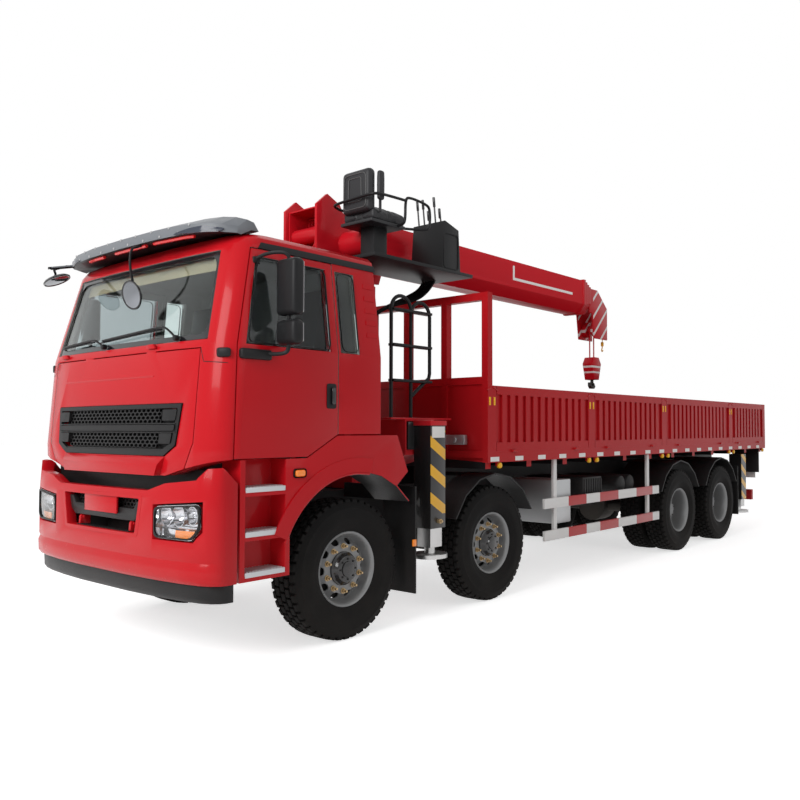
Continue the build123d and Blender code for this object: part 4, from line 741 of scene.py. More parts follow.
def sheetOn(corners, radius, surface, lift, thickness, rings=4):  # a filled rounded outline laid on a surface
    outline = softLoop(corners, radius)
    middle, count = middleOf(outline), len(outline)
    verts = [surface(*middle, lift)]
    for ring in range(1, rings + 1):
        verts += [surface(*middle.lerp(Vector(c), ring / rings), lift) for c in outline]
    faces = [(0, 1 + i, 1 + (i + 1) % count) for i in range(count)]
    for ring in range(1, rings):
        low, high = 1 + (ring - 1) * count, 1 + ring * count
        faces += [(low + i, high + i, high + (i + 1) % count, low + (i + 1) % count) for i in range(count)]
    return thickened(fromMesh(verts, faces), thickness)


def lineOn(places, surface, lift, radius, parts=10):  # a thin round line laid on a surface
    points = []
    for low, high in zip(places, places[1:]):
        points += [surface(*Vector(low).lerp(Vector(high), t / parts), lift) for t in range(parts)]
    return tube(points + [surface(*places[-1], lift)], radius, smooth=False, sides=1)


def comb(half, low, top, pitch, rise, surface, lift, depth=0.02):  # a honeycomb sheet with real holes
    verts, faces = [], []
    for row in range(round((top - low) / rise)):
        z = low + (row + 0.5) * rise
        y = -half + (pitch / 2 if row % 2 else 0)
        while y < half:
            start = len(verts)
            for share, back in ((1.0, 0.0), (0.74, 0.0), (0.74, -depth)):
                for i in range(6):
                    angle = math.radians(30 + 60 * i)
                    across = math.cos(angle) * pitch / math.sqrt(3) * share
                    verts.append(surface(y + across, z + math.sin(angle) * rise / 1.5 * share, lift + back))
            faces += ringFaces(start, start + 6, 6) + ringFaces(start + 6, start + 12, 6)
            y += pitch
    sheet = fromMesh(verts, faces)
    editAll(sheet)
    bpy.ops.mesh.remove_doubles(threshold=0.0008)
    leaveEdit()
    return sheet


# windscreen: dark edge, blind, wipers
screenSizes = {
    "outer": (mirrored([(1.046, 2.164), (0.968, 2.776)]), 0.03),
    "inner": (mirrored([(1.022, 2.200), (0.945, 2.745)]), 0.09),
    "blind": (-0.93, 2.655, 0.93, 2.745)}
settle(strip(screenSizes["outer"], screenSizes["inner"], cabFront, -0.013, 0.004), "screen_edge", glossBlack)
settle(sheetOn(rectangle(*screenSizes["blind"]), 0.01, cabFront, -0.075, 0.004), "sun_blind", blindTan)
wiper = {"blades": (((-0.96, 2.215), (-0.42, 2.235)), ((-0.30, 2.222), (0.52, 2.262))),
         "pivots": ((-0.22, 2.185), (0.74, 2.185)), "covers": (-0.84, 0.46), "coverZ": 2.14,
         "coverPlan": ((0.0, -0.055, -0.012), (0.0, 0.055, -0.012), (0.006, 0.04, 0.018), (0.006, -0.04, 0.018))}
wipers = zip(wiper["blades"], wiper["pivots"], wiper["covers"])
for number, (((y0, z0), (y1, z1)), (py, pz), coverY) in enumerate(wipers, 1):
    rubberEdge = lineOn([(y0, z0), (y1, z1)], cabFront, 0.006, 0.006)
    spine = lineOn([(y0 + 0.04, z0 + 0.012), (y1 - 0.04, z1 + 0.012)], cabFront, 0.018, 0.009)
    arm = tube([cabFront((y0 + y1) / 2 + 0.12, (z0 + z1) / 2 + 0.016, 0.026), cabFront(y1, z1 + 0.012, 0.034),
                cabFront((y1 + py) / 2, z1 + 0.004, 0.036), cabFront(py, pz, 0.02)], 0.008, sides=2)
    foot = roundBar(cabFront(py, pz, 0.0), cabFront(py, pz, 0.035), 0.02, 16, 0.003)
    settle(joined([rubberEdge, spine, arm, foot]), f"wiper_{number}", trimBlack)
    base = cabFront(coverY, wiper["coverZ"])
    cover = flatPiece([base + Vector(corner) for corner in wiper["coverPlan"]], (0.024, 0, 0), 0.006)
    settle(cover, f"wiper_cover_{number}", cabRed)
print("windscreen fitted")

# front panel: crease, seams and grille
settle(lineOn([(-0.80, 1.935), (0.50, 1.935)], cabFront, -0.003, 0.007, 24), "panel_crease", cabRed, "front_panel")
for side, sign in bothSides:
    seam = lineOn([(sign * 1.01, 2.10), (sign * 1.04, 2.012), (sign * 1.20, 2.0)], cabFront, -0.0015, 0.0035, 12)
    settle(seam, f"corner_seam_{side}", trimBlack)
grille = {
    "outer": mirrored([(0.694, 1.394), (0.824, 1.464), (0.864, 1.741)]),
    "inner": mirrored([(0.668, 1.430), (0.786, 1.482), (0.826, 1.712)]),
    "combs": ((0.63, 1.612, 1.712), (0.61, 1.447, 1.547)), "mesh": (0.056, 0.025), "ridges": (1.608, 1.552),
    "rib": mirrored([(0.81, 1.560), (0.816, 1.600)]),
    "sill": mirrored([(0.66, 1.402), (0.70, 1.440)]),
    "ends": ((1.628, 1.702, 0.665, 0.812), (1.474, 1.544, 0.645, 0.775))}
grilleParts = [
    strip((grille["outer"], 0.012), (grille["inner"], 0.012), cabFront, -0.002, 0.02),
    sheetOn(grille["inner"], 0.01, cabFront, -0.05, 0.006),
    sheetOn(grille["rib"], 0.01, cabFront, 0.006, 0.022), sheetOn(grille["sill"], 0.008, cabFront, -0.006, 0.02)]
grilleParts += [comb(*span, *grille["mesh"], cabFront, -0.004) for span in grille["combs"]]
grilleParts += [lineOn([(-0.82, z), (0.82, z)], cabFront, 0.008, 0.005, 24) for z in grille["ridges"]]
for sign in (1, -1):
    for low, top, near, far in grille["ends"]:
        corners = [(sign * near, low), (sign * far, low), (sign * (far + 0.012), top), (sign * near, top)]
        grilleParts.append(sheetOn(corners, 0.012, cabFront, 0.0, 0.026))
settle(joined(grilleParts), "grille_comb", trimBlack, "front_panel")
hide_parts("grille")
print("grille fitted")

# bumper: intake, plate, tow hooks, lamps
bumper = {
    "bar": [(0.415, 1.030), (0.452, 1.082), (0.512, 1.082), (0.482, 0.985), (0.42, 0.945)],
    "outer": mirrored([(0.515, 0.845), (0.575, 1.128)]),
    "inner": mirrored([(0.485, 0.868), (0.535, 1.106)]),
    "hook": ((5.075, 0.872), (5.155, 0.872), (5.150, 0.93), (5.120, 0.968), (5.075, 0.968)), "hookY": 0.36,
    "treads": 25, "treadPitch": 0.03, "lip": 0.655}
# a black sheet behind the intake and the gap under the front panel: painted shade for the dark inside of the nose
settle(roundedBox((4.925, -1.14, 0.80), (4.945, 1.14, 1.30)), "nose_shade_backing", trimBlack)
settle(comb(0.50, 0.985, 1.10, 0.046, 0.026, bumperFront, -0.07), "intake_comb", trimBlack)
barOutline = [(-y, z) for y, z in reversed(bumper["bar"])] + bumper["bar"]
settle(flatPiece([(5.108, y, z) for y, z in barOutline], (0.05, 0, 0), 0.008), "intake_bar", trimBlack)
settle(roundedBox((5.166, -0.23, 0.985), (5.182, 0.23, 1.126), 0.005), "blank_plate", cabRed)
settle(strip((bumper["outer"], 0.03), (bumper["inner"], 0.02), bumperFront, 0.001, 0.01), "intake_frame", cabRed)
hooks = []
for sign in (1, -1):
    y = sign * bumper["hookY"]
    hooks.append(flatPiece([(x, y - 0.014, z) for x, z in bumper["hook"]], (0, 0.028, 0), 0.004))
    hooks.append(roundBar((5.125, y - 0.03, 0.925), (5.125, y + 0.03, 0.925), 0.012))
settle(joined(hooks), "tow_hooks", cabRed)
lipTread = [roundedBox((5.11, -0.38, 0.858), (5.178, 0.40, 0.868), 0.003)]
for i in range(bumper["treads"]):
    shift = i * bumper["treadPitch"]
    lipTread.append(roundedBox((5.125, -0.36 + shift, 0.866), (5.172, -0.345 + shift, 0.876), 0.002, 1))
settle(joined(lipTread), "lip_tread", boxBlack)
repaint("bumper", trimBlack, lambda place, normal: place.z < bumperLevels[0][0] - 0.004)
settle(lineOn([(-1.0, bumper["lip"]), (1.0, bumper["lip"])], bumperFront, -0.0065, 0.006, 24), "lip_ridge", cabRed)

lampSizes = {
    "corners": [(0.70, 0.858), (1.075, 0.858), (1.138, 0.925), (1.138, 1.100), (0.70, 1.068)],
    "bowls": ((0.785, 1.005, 0.062), (0.905, 1.008, 0.066), (1.03, 1.015, 0.055)), "back": -0.088, "rib": 0.93,
    "liner": (0.72, 0.868, 0.86, 0.918), "blink": [(0.885, 0.868), (1.06, 0.868), (1.085, 0.918), (0.885, 0.918)]}


def makeHeadLamp():
    corners, depth = lampSizes["corners"], lampSizes["back"]
    inside = shrunk(corners, 0.004)
    surround = strip((shrunk(corners, 0.016), 0.05), (shrunk(corners, 0.006), 0.04), bumperFront, 0.002, 0.016)
    outline = softLoop(inside, 0.04)
    verts = [bumperFront(*c, lift) for lift in (-0.004, -0.09) for c in outline]
    bowls = [thickened(fromMesh(verts, ringFaces(0, len(outline), len(outline))), 0.003),
             sheetOn(inside, 0.04, bumperFront, depth, 0.004)]
    bulbs = []
    for y, z, radius in lampSizes["bowls"]:
        dish = turned([(0.0, 0.004), (0.008, radius * 0.55), (0.03, radius * 0.85), (0.055, radius),
                       (0.055, radius + 0.006), (0.0, radius * 0.9)], 28)
        dish.data.transform(Matrix.Translation((bumperFront(y, z, depth).x, y, z))
                            @ Matrix.Rotation(math.radians(-90), 4, "Z"))
        bowls.append(dish)
        place = bumperFront(y, z, -0.075)
        bulbs.append(roundBar(place, place + Vector((0.03, 0, 0)), 0.014, 14, 0.006))
    bowls.append(sheetOn(rectangle(*lampSizes["liner"]), 0.01, bumperFront, -0.05, 0.006))
    bowls.append(lineOn([(0.74, lampSizes["rib"]), (1.11, lampSizes["rib"])], bumperFront, -0.04, 0.004, 8))
    return (("surround", surround, trimBlack), ("bowls", joined(bowls), chrome), ("bulbs", joined(bulbs), lampGlass),
            ("indicator", sheetOn(lampSizes["blink"], 0.012, bumperFront, -0.03, 0.01), amber),
            ("cover", sheetOn(inside, 0.04, bumperFront, -0.002, 0.004), lampGlass))


for label, piece, material in makeHeadLamp():
    settlePair(f"head_lamp_{label}", piece, material)
print("bumper and lamps fitted")

# visor: dark underside, screws, end lenses, marker bars, front mirrors
repaint("visor", trimBlack, lambda place, normal: normal.z < -0.35 or place.z < 2.875)
cutFaces("visor", lambda place: place.x > 4.95 and place.z < 2.84)
visorSizes = {
    "x": 5.065, "lean": 0.010, "low": 2.89, "tall": 0.07,
    "plan": ((0.0, 0.0), (0.45, 0.010), (0.75, 0.040), (0.92, 0.090), (1.02, 0.160), (1.08, 0.250)),
    "screwRows": ((2.955, 0.0), (2.905, 0.11)), "screwPitch": 0.20, "screwEnd": 0.86,
    "lens": ((0.66, 2.897), (0.84, 2.888), (1.02, 2.888), (1.04, 2.915), (0.93, 2.934), (0.82, 2.927)),
    "markers": ((-0.55, -0.30), (-0.12, 0.30), (0.40, 0.82)), "markerZ": 2.878, "mirrorX": 5.10,
    "mirrors": ((0.25, 2.52, (0.96, 0.10, -0.25)), (-0.92, 2.765, (-0.30, 0.30, -0.90))),
    "shell": ((-0.026, 0.0), (-0.022, 0.06), (-0.012, 0.094), (0.0, 0.105), (0.010, 0.103), (0.010, 0.096),
              (0.006, 0.09)), "face": ((0.006, 0.095), (0.011, 0.05), (0.013, 0.0))}


def visorFront(y, z, lift=0.0):
    rise = (z - visorSizes["low"]) / visorSizes["tall"]
    x = visorSizes["x"] - visorSizes["lean"] * rise - between(visorSizes["plan"], abs(y))
    return Vector((x + lift, y, z))


screws = []
for z, offset in visorSizes["screwRows"]:
    for i in range(-4, 5):
        y = i * visorSizes["screwPitch"] + offset
        if abs(y) < visorSizes["screwEnd"]:
            screws.append(roundBar(visorFront(y, z, -0.002), visorFront(y, z, 0.005), 0.009, 10))
settle(joined(screws), "visor_screws", steel)
for side, sign in bothSides:
    drop = [(sign * y, z) for y, z in visorSizes["lens"]]
    settle(sheetOn(shrunk(drop, 0.012), 0.03, visorFront, 0.002, 0.006), f"visor_lens_rim_{side}", trimBlack)
    settle(sheetOn(drop, 0.025, visorFront, 0.006, 0.008), f"visor_lens_{side}", blueLens)
# the marker bars are reflectors: the red lens glow on them is painted reflected light
markers = [lineOn([(y, visorSizes["markerZ"]) for y in ends], visorFront, -0.035, 0.013, 10)
           for ends in visorSizes["markers"]]
settle(joined(markers), "visor_markers", redLens)
for number, (y, z, aim) in enumerate(visorSizes["mirrors"], 1):
    place, aim = Vector((visorSizes["mirrorX"], y, z)), Vector(aim)
    turn = Vector((0, 1, 0)).rotation_difference(aim).to_matrix().to_4x4()
    for label, material in (("shell", glossBlack), ("face", mirrorGlass)):
        part = turned(visorSizes[label], 36)
        part.data.transform(Matrix.Translation(place) @ turn)
        settle(part, f"front_mirror_{number}_{label}", material)
    back = place - aim.normalized() * 0.022
    stem = tube([(5.02, y, 2.89), (5.07, y, 2.868), (5.115, y, 2.85), (5.128, y + 0.01, (z + 2.85) / 2 + 0.03),
                 back + Vector((0, 0, 0.03)), back], 0.009, sides=2)
    settle(stem, f"front_mirror_{number}_stem", trimBlack)
print("visor fitted")


# the cab's sides: mirrors, seals, handles, steps
mirrorSizes = {"x": (4.552, 4.648), "y": (1.268, 1.478), "heads": ((2.330, 2.712), (2.135, 2.300)), "edge": 0.036,
               "rim": 0.022, "stemX": 4.60, "stemY": 1.363}
doorWindow = [(4.105, 2.125), (4.852, 2.125), (4.725, 2.748), (4.105, 2.748)]
quarterWindow = rectangle(3.826, 2.125, 4.022, 2.748)
bracketPlan = [(4.958, 1.232), (4.985, 1.205), (5.010, 1.165), (5.000, 1.120), (4.950, 1.180)]
stepSizes = {"levels": (0.62, 0.881, 1.171), "ridges": 12, "pitch": 0.0252}
ribLevels = (2.27, 2.365, 2.46, 2.555, 2.65)


def makeMirror():
    (x0, x1), (y0, y1), rim = mirrorSizes["x"], mirrorSizes["y"], mirrorSizes["rim"]
    x, y = mirrorSizes["stemX"], mirrorSizes["stemY"]
    shells = [roundedBox((x0, y0, low), (x1, y1, top), mirrorSizes["edge"], 4) for low, top in mirrorSizes["heads"]]
    arms = [roundBar((x, y, 2.29), (x, y, 2.34), 0.014),
            tube([(4.72, 1.150, 2.715), (4.70, 1.185, 2.742), (4.66, 1.27, 2.760), (4.605, y, 2.752), (x, y, 2.70)],
                 0.012),
            tube([(4.70, 1.245, 2.075), (4.66, 1.285, 2.070), (4.61, y - 0.02, 2.078), (x, y, 2.105), (x, y, 2.15)],
                 0.014),
            roundedBox((4.685, 1.125, 2.685), (4.745, 1.168, 2.735), 0.01)]
    faces = [roundedBox((x0 - 0.003, y0 + rim, low + rim), (x0 + 0.004, y1 - rim, top - rim), 0.002, 1)
             for low, top in mirrorSizes["heads"]]
    return joined(shells + arms), joined(faces)


def makeSeal(corners, wide):
    return strip((shrunk(corners, 0.014), 0.06), (shrunk(corners, wide), 0.05), cabSide, 0.003, 0.010)


def archPoint(radius, angle, y):
    return (wheelX + radius * math.cos(angle), y, wheelZ + radius * math.sin(angle))


def archBand(inner, outer):  # a raised band round the front wheel opening
    angles = [math.radians(24 + 77 * i / 28) for i in range(29)]
    verts = [archPoint(radius, angle, 1.244) for radius in (inner, outer) for angle in angles]
    return thickened(fromMesh(verts, [(i, i + 1, 30 + i, 29 + i) for i in range(28)]), 0.012)


def makeSteps():
    treads = []
    for z in stepSizes["levels"]:
        treads.append(roundedBox((4.525, 1.062, z), (4.840, 1.240, z + 0.018)))
        for i in range(stepSizes["ridges"]):
            shift = i * stepSizes["pitch"]
            treads.append(roundedBox((4.535 + shift, 1.070, z + 0.016), (4.549 + shift, 1.232, z + 0.024), 0.002, 1))
        treads.append(roundedBox((4.522, 1.222, z - 0.014), (4.843, 1.245, z + 0.020)))
    return joined(treads)


def makeRibs():
    outlines = [[(3.625, z), (3.745, z), (3.735, z + 0.040), (3.625, z + 0.040)] for z in ribLevels]
    return joined([sheetOn(outline, 0.012, cabSide, 0.0015, 0.006) for outline in outlines])


def makeLip():
    return tube([archPoint(0.722, math.radians(a), 1.236) for a in range(22, 102, 6)], 0.012, sides=2)


mirrorBody, mirrorFaces = makeMirror()
for label, piece, material, body in (
        ("mirror_dressed", mirrorBody, trimBlack, "door"), ("mirror_glass", mirrorFaces, chrome, "door"),
        ("window_seal", makeSeal(doorWindow, 0.020), trimBlack, "door"),
        ("quarter_seal", makeSeal(quarterWindow, 0.018), trimBlack, "root"),
        ("belt_bracket", roundedBox((4.655, 1.205, 2.030), (4.900, 1.270, 2.100), 0.018, 3), trimBlack, "door"),
        ("pillar_bracket", flatPiece([(*spot, 2.036) for spot in bracketPlan], (0, 0, 0.062), 0.012, 3), trimBlack,
         "root"),
        ("handle_dish", sheetOn(rectangle(4.068, 1.72, 4.158, 1.90), 0.02, cabSide, 0.001, 0.006), trimBlack, "door"),
        ("handle_grip", roundedBox((4.088, 1.243, 1.748), (4.120, 1.268, 1.872), 0.011, 3), glossBlack, "door"),
        ("roof_strip", sheetOn([(3.60, 2.795), (4.70, 2.795), (4.67, 2.842), (3.60, 2.842)], 0.006, cabSide, 0.002,
                               0.010), boxBlack, "root"),
        ("quarter_ribs", makeRibs(), cabRed, "root"),
        ("side_marker_base", roundedBox((4.345, 1.234, 1.236), (4.455, 1.246, 1.300), 0.018, 3), trimBlack, "root"),
        ("side_marker", roundedBox((4.357, 1.238, 1.245), (4.443, 1.262, 1.291), 0.016, 3), amber, "root"),
        ("arch_flare", archBand(0.728, 0.835), cabRed, "root"), ("arch_lip", makeLip(), cabRed, "root"),
        ("step_treads", makeSteps(), treadSilver, "root"),
        ("flap_marker", roundedBox((3.188, 1.222, 0.630), (3.229, 1.236, 0.685)), amber, "root")):
    settlePair(label, piece, material, body)
for side in ("left", "right"):
    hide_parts(f"mirror_{side}")
print("cab sides fitted")


# the crane's working place: levers, hoses, piping
leverSizes = {"x": 2.29, "y": (0.45, 0.52, 0.59, 0.66, 0.73), "low": 3.50, "rises": (0.24, 0.24, 0.12, 0.24, 0.12),
              "lean": 0.03}
levers, knobs = [], []
for y, rise in zip(leverSizes["y"], leverSizes["rises"]):
    foot = Vector((leverSizes["x"], y, leverSizes["low"]))
    tip = foot + Vector((leverSizes["lean"], 0, rise))
    levers.append(roundBar(foot, tip, 0.008, 12))
    knobs.append(roundBar(tip - Vector((0.008, 0, 0.06)), tip + Vector((0.004, 0, 0.034)), 0.013, 16, 0.006))
settle(joined(levers), "lever_rods", dullGrey, "turret")
settle(joined(knobs), "lever_knobs", glossBlack, "turret")
hoseSizes = {"count": 5, "y": 0.44, "pitch": 0.035, "spread": 0.012, "radius": 0.013}
hoses = []
for i in range(hoseSizes["count"]):
    y, spread = hoseSizes["y"] + i * hoseSizes["pitch"], i * hoseSizes["spread"]
    hoses.append(tube([(2.22, y, 3.005), (2.24, y - 0.02, 2.93), (2.38, y - 0.08, 2.84 - spread),
                       (2.58, 0.30 + spread, 2.74), (2.74, 0.20 + spread, 2.62), (2.80, 0.17, 2.45)],
                      hoseSizes["radius"], sides=2))
settle(joined(hoses), "valve_hoses", rubber, "turret")


def softened(piece, levels):  # a box rounded over like stuffed hide
    smoothing = piece.modifiers.new("soft", "SUBSURF")
    smoothing.levels = levels
    applyModifiers(piece)
    return piece


stuffingSizes = {"voxel": 0.006, "limit": 0.022, "pressure": 4, "frames": 20}


def puffed(piece):  # stuffing pressed out from inside, base kept flat
    evened = piece.modifiers.new("evened", "REMESH")
    evened.mode = "VOXEL"
    evened.voxel_size = stuffingSizes["voxel"]
    applyModifiers(piece)
    starts = [vertex.co.copy() for vertex in piece.data.vertices]
    base = min(start.z for start in starts)
    stuffing = piece.modifiers.new("stuffing", "CLOTH")
    stuffing.settings.use_pressure = True
    stuffing.settings.uniform_pressure_force = stuffingSizes["pressure"]
    stuffing.settings.effector_weights.gravity = 0
    for step in range(1, stuffingSizes["frames"] + 1):
        bpy.context.scene.frame_set(step)
    applyModifiers(piece)
    for vertex, start in zip(piece.data.vertices, starts):
        move = vertex.co - start
        if move.length > stuffingSizes["limit"]:
            vertex.co = start + move.normalized() * stuffingSizes["limit"]
        vertex.co.z = max(vertex.co.z, base)
    bpy.context.scene.frame_set(1)
    softened(piece, 1)


# the operator's seat and its hoops, which stand in for the plain rail
seatSizes = {
    "back": ((3.262, 0.500, 3.405), (3.352, 0.840, 3.775)), "cushion": ((2.915, 0.475, 3.340), (3.32, 0.865, 3.435)),
    "pan": ((2.93, 0.48, 3.312), (3.34, 0.86, 3.342)), "rests": (0.438, 0.850), "struts": (0.47, 0.87),
    "pipings": (("outer", 3.44, 3.735, 0.0, 0.05), ("inner", 3.50, 3.70, 0.055, 0.02)), "hoop": 0.012,
    "backHoop": ((3.25, 0.47, 3.47), (3.28, 0.42, 3.48), (3.36, 0.42, 3.50), (3.388, 0.47, 3.505), (3.388, 0.86, 3.52),
                 (3.36, 0.93, 3.525), (3.28, 0.945, 3.53), (3.02, 0.945, 3.535)),
    "frontHoop": ((3.02, 0.84, 3.326), (3.02, 0.92, 3.33), (3.02, 0.945, 3.37), (3.02, 0.945, 3.54),
                  (2.98, 0.945, 3.575), (2.74, 0.945, 3.56), (2.70, 0.945, 3.52), (2.70, 0.945, 3.37),
                  (2.73, 0.92, 3.33), (2.97, 0.82, 3.326))}
seatBack = roundedBox(*seatSizes["back"], 0.042, 4)
seatCushion = roundedBox(*seatSizes["cushion"], 0.03, 3)
puffed(seatCushion)
rests = [softened(roundedBox((3.215, y, 3.50), (3.285, y + 0.052, 3.752), 0.022, 2), 1) for y in seatSizes["rests"]]
struts = [roundBar((3.25, y, 3.40), (3.25, y, 3.53), 0.012) for y in seatSizes["struts"]]
underPan = roundedBox(*seatSizes["pan"], 0.008)
settle(joined([seatBack, underPan] + rests + struts), "operator_seat_frame", seatHide, "turret")
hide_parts("operator_seat")
settle(seatCushion, "operator_seat_cushion", seatHide, "turret")
for label, low, high, narrow, radius in seatSizes["pipings"]:
    outline = softLoop([(0.535 + narrow, low), (0.805 - narrow, low), (0.80 - narrow, high), (0.54 + narrow, high)],
                       radius)
    piping = tube([(3.3535, y, z) for y, z in outline], 0.004, smooth=False, sides=1, closed=True)
    settle(piping, f"seat_piping_{label}", dullGrey, "turret")
cutFaces("operator_station", lambda place: abs(place.y - 0.92) < 0.04 and place.z > 3.035)
hoops = [tube(seatSizes[name], seatSizes["hoop"], sides=2) for name in ("backHoop", "frontHoop")]
settle(joined(hoops), "seat_hoops", frameBlack, "turret")

# ladder of bent tube with flat treads
ladderSizes = {"x": (3.18, 2.936, 2.692), "y": 0.935, "foot": 1.670, "shoulder": 2.585, "radius": 0.016,
               "treads": (2.585, 2.285, 1.985), "tread": (0.035, 0.011)}
nearX, midX, farX = ladderSizes["x"]


def bentTop(middle, height):
    sway, turns = (nearX - midX) / 2, [math.radians(turn) for turn in range(0, 181, 15)]
    return [(middle + sway * math.cos(turn), height + sway * math.sin(turn)) for turn in turns]


def ladderTube(spots):
    return tube([(x, ladderSizes["y"], z) for x, z in spots], ladderSizes["radius"], smooth=False)


stiles = ladderTube([(nearX, ladderSizes["foot"])] + bentTop((nearX + midX) / 2, ladderSizes["shoulder"])
                    + [(midX, ladderSizes["foot"])])
hoop = ladderTube([(midX, 2.50)] + bentTop((midX + farX) / 2, ladderSizes["shoulder"] - 0.03)
                  + [(farX, 2.06), (farX + 0.012, 2.02), (midX, 1.85)])
deep, thick = ladderSizes["tread"]
treads = [roundedBox((farX, ladderSizes["y"] - deep, z - thick), (nearX, ladderSizes["y"] + deep, z + thick))
          for z in ladderSizes["treads"]]
settle(joined([stiles, hoop] + treads), "ladder_tubes", frameBlack)
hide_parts("ladder")

# console rim, outrigger legs, small hook
panel = strip((rectangle(2.12, 3.08, 2.34, 3.42), 0.04), (rectangle(2.13, 3.09, 2.33, 3.41), 0.035),
              lambda x, z, lift: Vector((x, 0.801 + lift, z)), 0.0, 0.006)
settle(panel, "console_panel", boxBlack, "turret")
for side, sign in bothSides:
    beam = f"outrigger_beam_{side}"
    low, high = sorted((sign * 1.189, sign * 1.197))
    settle(roundedBox((2.79, low, 1.50), (2.95, high, 1.595), 0.003), f"leg_plate_{side}", whiteMark, beam)
    low, high = sorted((sign * 0.990, sign * 1.196))
    settle(roundedBox((2.765, low, 1.603), (2.972, high, 1.645)), f"leg_collar_{side}", craneRed, beam)
    spout = [roundBar((2.87, sign * start, 0.80), (2.87, sign * end, 0.80), radius, corners)
             for start, end, radius, corners in ((1.188, 1.222, 0.020, 12), (1.21, 1.238, 0.012, 6))]
    settle(joined(spout), f"leg_fitting_{side}", bronze, beam)
auxHook = [tube([(-1.98, 0.05, 2.93), (-2.0, 0.06, 2.86), (-1.99, 0.06, 2.80)], 0.006),
           roundBar((-1.99, 0.06, 2.80), (-1.99, 0.06, 2.74), 0.02, 14, 0.008),
           tube([(-1.99, 0.06, 2.74), (-1.99, 0.06, 2.71), (-1.965, 0.06, 2.685), (-1.99, 0.06, 2.66),
                 (-2.01, 0.06, 2.685)], 0.008)]
settle(joined(auxHook), "auxiliary_hook", yellowMark, "boom_4")
print("crane trimmed")


# the bed's marks, latches and lamps
bedSizes = {"posts": (2.185, 0.39, -1.42, -3.68, -5.12), "latches": (-0.035, 0.035), "lamps": (0.04, -0.13),
            "reflectorX": (2.145, -5.1), "reflectorPitch": 0.387}
reflectors, marks, postLamps, gussets, lugs = [], [], [], [], []
x, last = bedSizes["reflectorX"]
while x > last:
    reflectors.append(roundedBox((x - 0.065, 1.244, 1.278), (x + 0.065, 1.2505, 1.320), 0.002, 1))
    x -= bedSizes["reflectorPitch"]
for post in bedSizes["posts"]:
    for offset in bedSizes["latches"]:
        x = post + offset
        if post > -5:
            marks.append(roundedBox((x - 0.011, 1.244, 1.79), (x + 0.011, 1.2525, 1.865), 0.003))
            gussets.append(tube([(post + offset * 2.4, 1.247, 1.925), (post + offset * 0.3, 1.247, 1.955)], 0.006,
                                smooth=False, sides=1))
    for offset in bedSizes["lamps"]:
        x = post + offset
        if -5.1 < x < 2.2:
            postLamps.append(roundBar((x, 1.215, 1.240), (x, 1.249, 1.240), 0.027, 20, 0.008))
            lugs.append(roundedBox((x - 0.03, 1.205, 1.232), (x + 0.03, 1.228, 1.272)))
for label, pieces, material in (
        ("reflectors", reflectors, whiteMark), ("latch_marks", marks, yellowMark), ("post_gussets", gussets, bedRed),
        ("post_lamps", postLamps, yellowMark), ("lamp_lugs", lugs, bedRed)):
    settlePair(label, joined(pieces), material)
workBox = [roundedBox((2.262, 0.78, 1.43), (2.312, 1.02, 1.52), 0.006),
           roundedBox((2.25, 0.83, 1.45), (2.27, 0.97, 1.50), 0.003),
           roundBar((2.308, 0.90, 1.475), (2.322, 0.90, 1.475), 0.03, 20, 0.004)]
settle(joined(workBox), "work_box", tankSilver)
print("bed trimmed")


# under the bed and at the rear
cutFaces("lamps", lambda place: place.x > 0)
dressed["lamps"].data.materials[0] = redLens
ribSizes = {"count": 8, "start": 0.02, "pitch": 0.05, "width": 0.025}
boxRibs = []
for i in range(ribSizes["count"]):
    x = ribSizes["start"] + i * ribSizes["pitch"]
    boxRibs.append(roundedBox((x, 1.148, 0.82), (x + ribSizes["width"], 1.158, 1.03), 0.003, 1))
settle(joined(boxRibs), "battery_ribs", boxBlack)
capSizes = {"x": (-0.51, -0.735), "y": 1.098, "z": 0.930,
            "dome": ((0.0, 0.105), (0.020, 0.096), (0.034, 0.07), (0.040, 0.03), (0.041, 0.0))}
caps = []
for x in capSizes["x"]:
    dome = turned(capSizes["dome"], 28)
    dome.data.transform(Matrix.Translation((x, capSizes["y"], capSizes["z"])))
    caps.append(dome)
settle(joined(caps), "air_tank_ends", boxBlack)
settle(roundedBox((-5.135, 0.88, 0.79), (-5.120, 1.10, 0.90), 0.003), "blank_plate_rear", whiteMark)
print("underside trimmed")


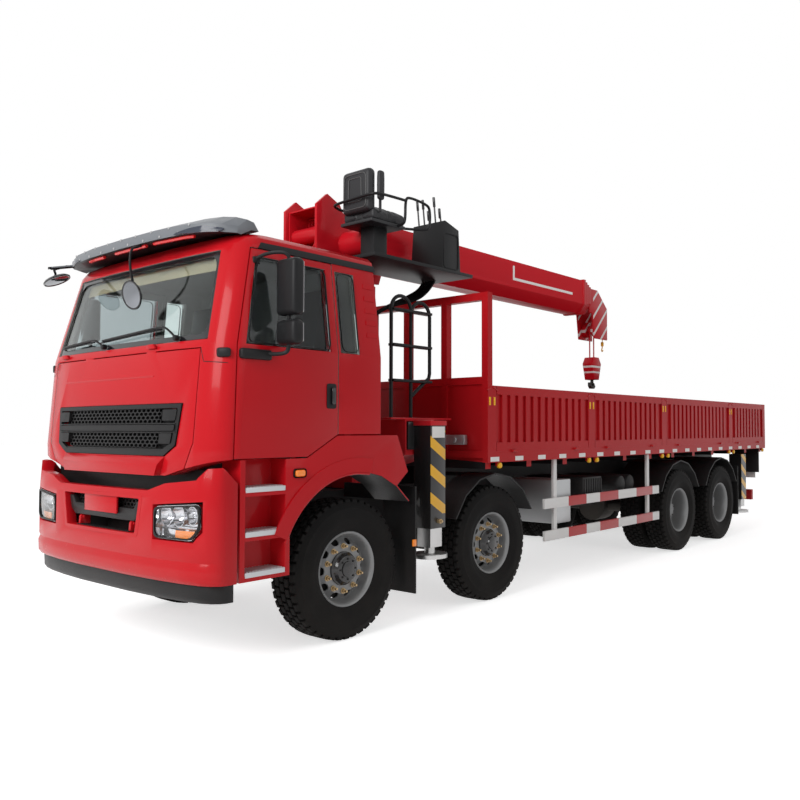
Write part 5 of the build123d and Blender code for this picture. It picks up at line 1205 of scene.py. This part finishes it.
# light, floor and camera
studio = {"ambient": 0.38, "key": 1450, "fill": 180, "floor": (0.9, 0.9, 0.9), "floorGlow": 0.63, "floorSize": 160}
view = {"place": (8.015, 5.609, 1.570), "aim": (-0.7755, -0.6303, 0.0367), "sensor": 36, "lens": 36.08,
        "shift": -0.075}


def aimed(direction):
    return Vector(direction).to_track_quat("-Z", "Y").to_euler()


def softLight(name, place, aim, size, power):
    lamp = bpy.data.lights.new(name, "AREA")
    lamp.size = size
    lamp.energy = power
    light = linked(name, lamp)
    light.location = place
    light.rotation_euler = aimed(Vector(aim) - Vector(place))


def seenRays(tree):  # rays that meet the studio as plain white
    rays = addNode(tree, "LightPath", {}).outputs
    return combined(tree, "MAXIMUM", rays["Is Camera Ray"], rays["Is Glossy Ray"], rays["Is Transmission Ray"])


softLight("keySoftbox", (16, 1.5, 8), (3, 0, 1.5), 7, studio["key"])
softLight("fillSoftbox", (0, 12, 8), (0, 0, 1.2), 8, studio["fill"])

world = bpy.data.worlds.new("studio")
bpy.context.scene.world = world
world.use_nodes = True
sky = world.node_tree
ambient = sky.nodes["Background"]
feed(sky, ambient, {"Color": (1, 1, 1), "Strength": studio["ambient"]})
white = addNode(sky, "Background", {"Color": (1, 1, 1)})
backdrop = addNode(sky, "MixShader", {0: seenRays(sky), 1: ambient.outputs[0], 2: white.outputs[0]})
feed(sky, sky.nodes["World Output"], {"Surface": backdrop.outputs[0]})

clearSelection()
bpy.ops.mesh.primitive_plane_add(size=studio["floorSize"], location=(0, 0, 0))
floor = bpy.context.object
floor.name = "studioFloor"
floorTree, floorShader = newMaterial("studioFloor")
feed(floorTree, floorShader, {
    "Base Color": studio["floor"], "Roughness": 0.9, "Emission Color": (1, 1, 1),
    "Emission Strength": addMath(floorTree, "MULTIPLY", seenRays(floorTree), studio["floorGlow"])})
floor.data.materials.append(finishes["studioFloor"])

lens = bpy.data.cameras.new("photoCamera")
lens.sensor_width = view["sensor"]
lens.lens = view["lens"]
lens.shift_x = view["shift"]
camera = linked("photoCamera", lens)
camera.location = view["place"]
camera.rotation_euler = aimed(view["aim"])
bpy.context.scene.camera = camera
bpy.context.scene.view_settings.view_transform = "Standard"
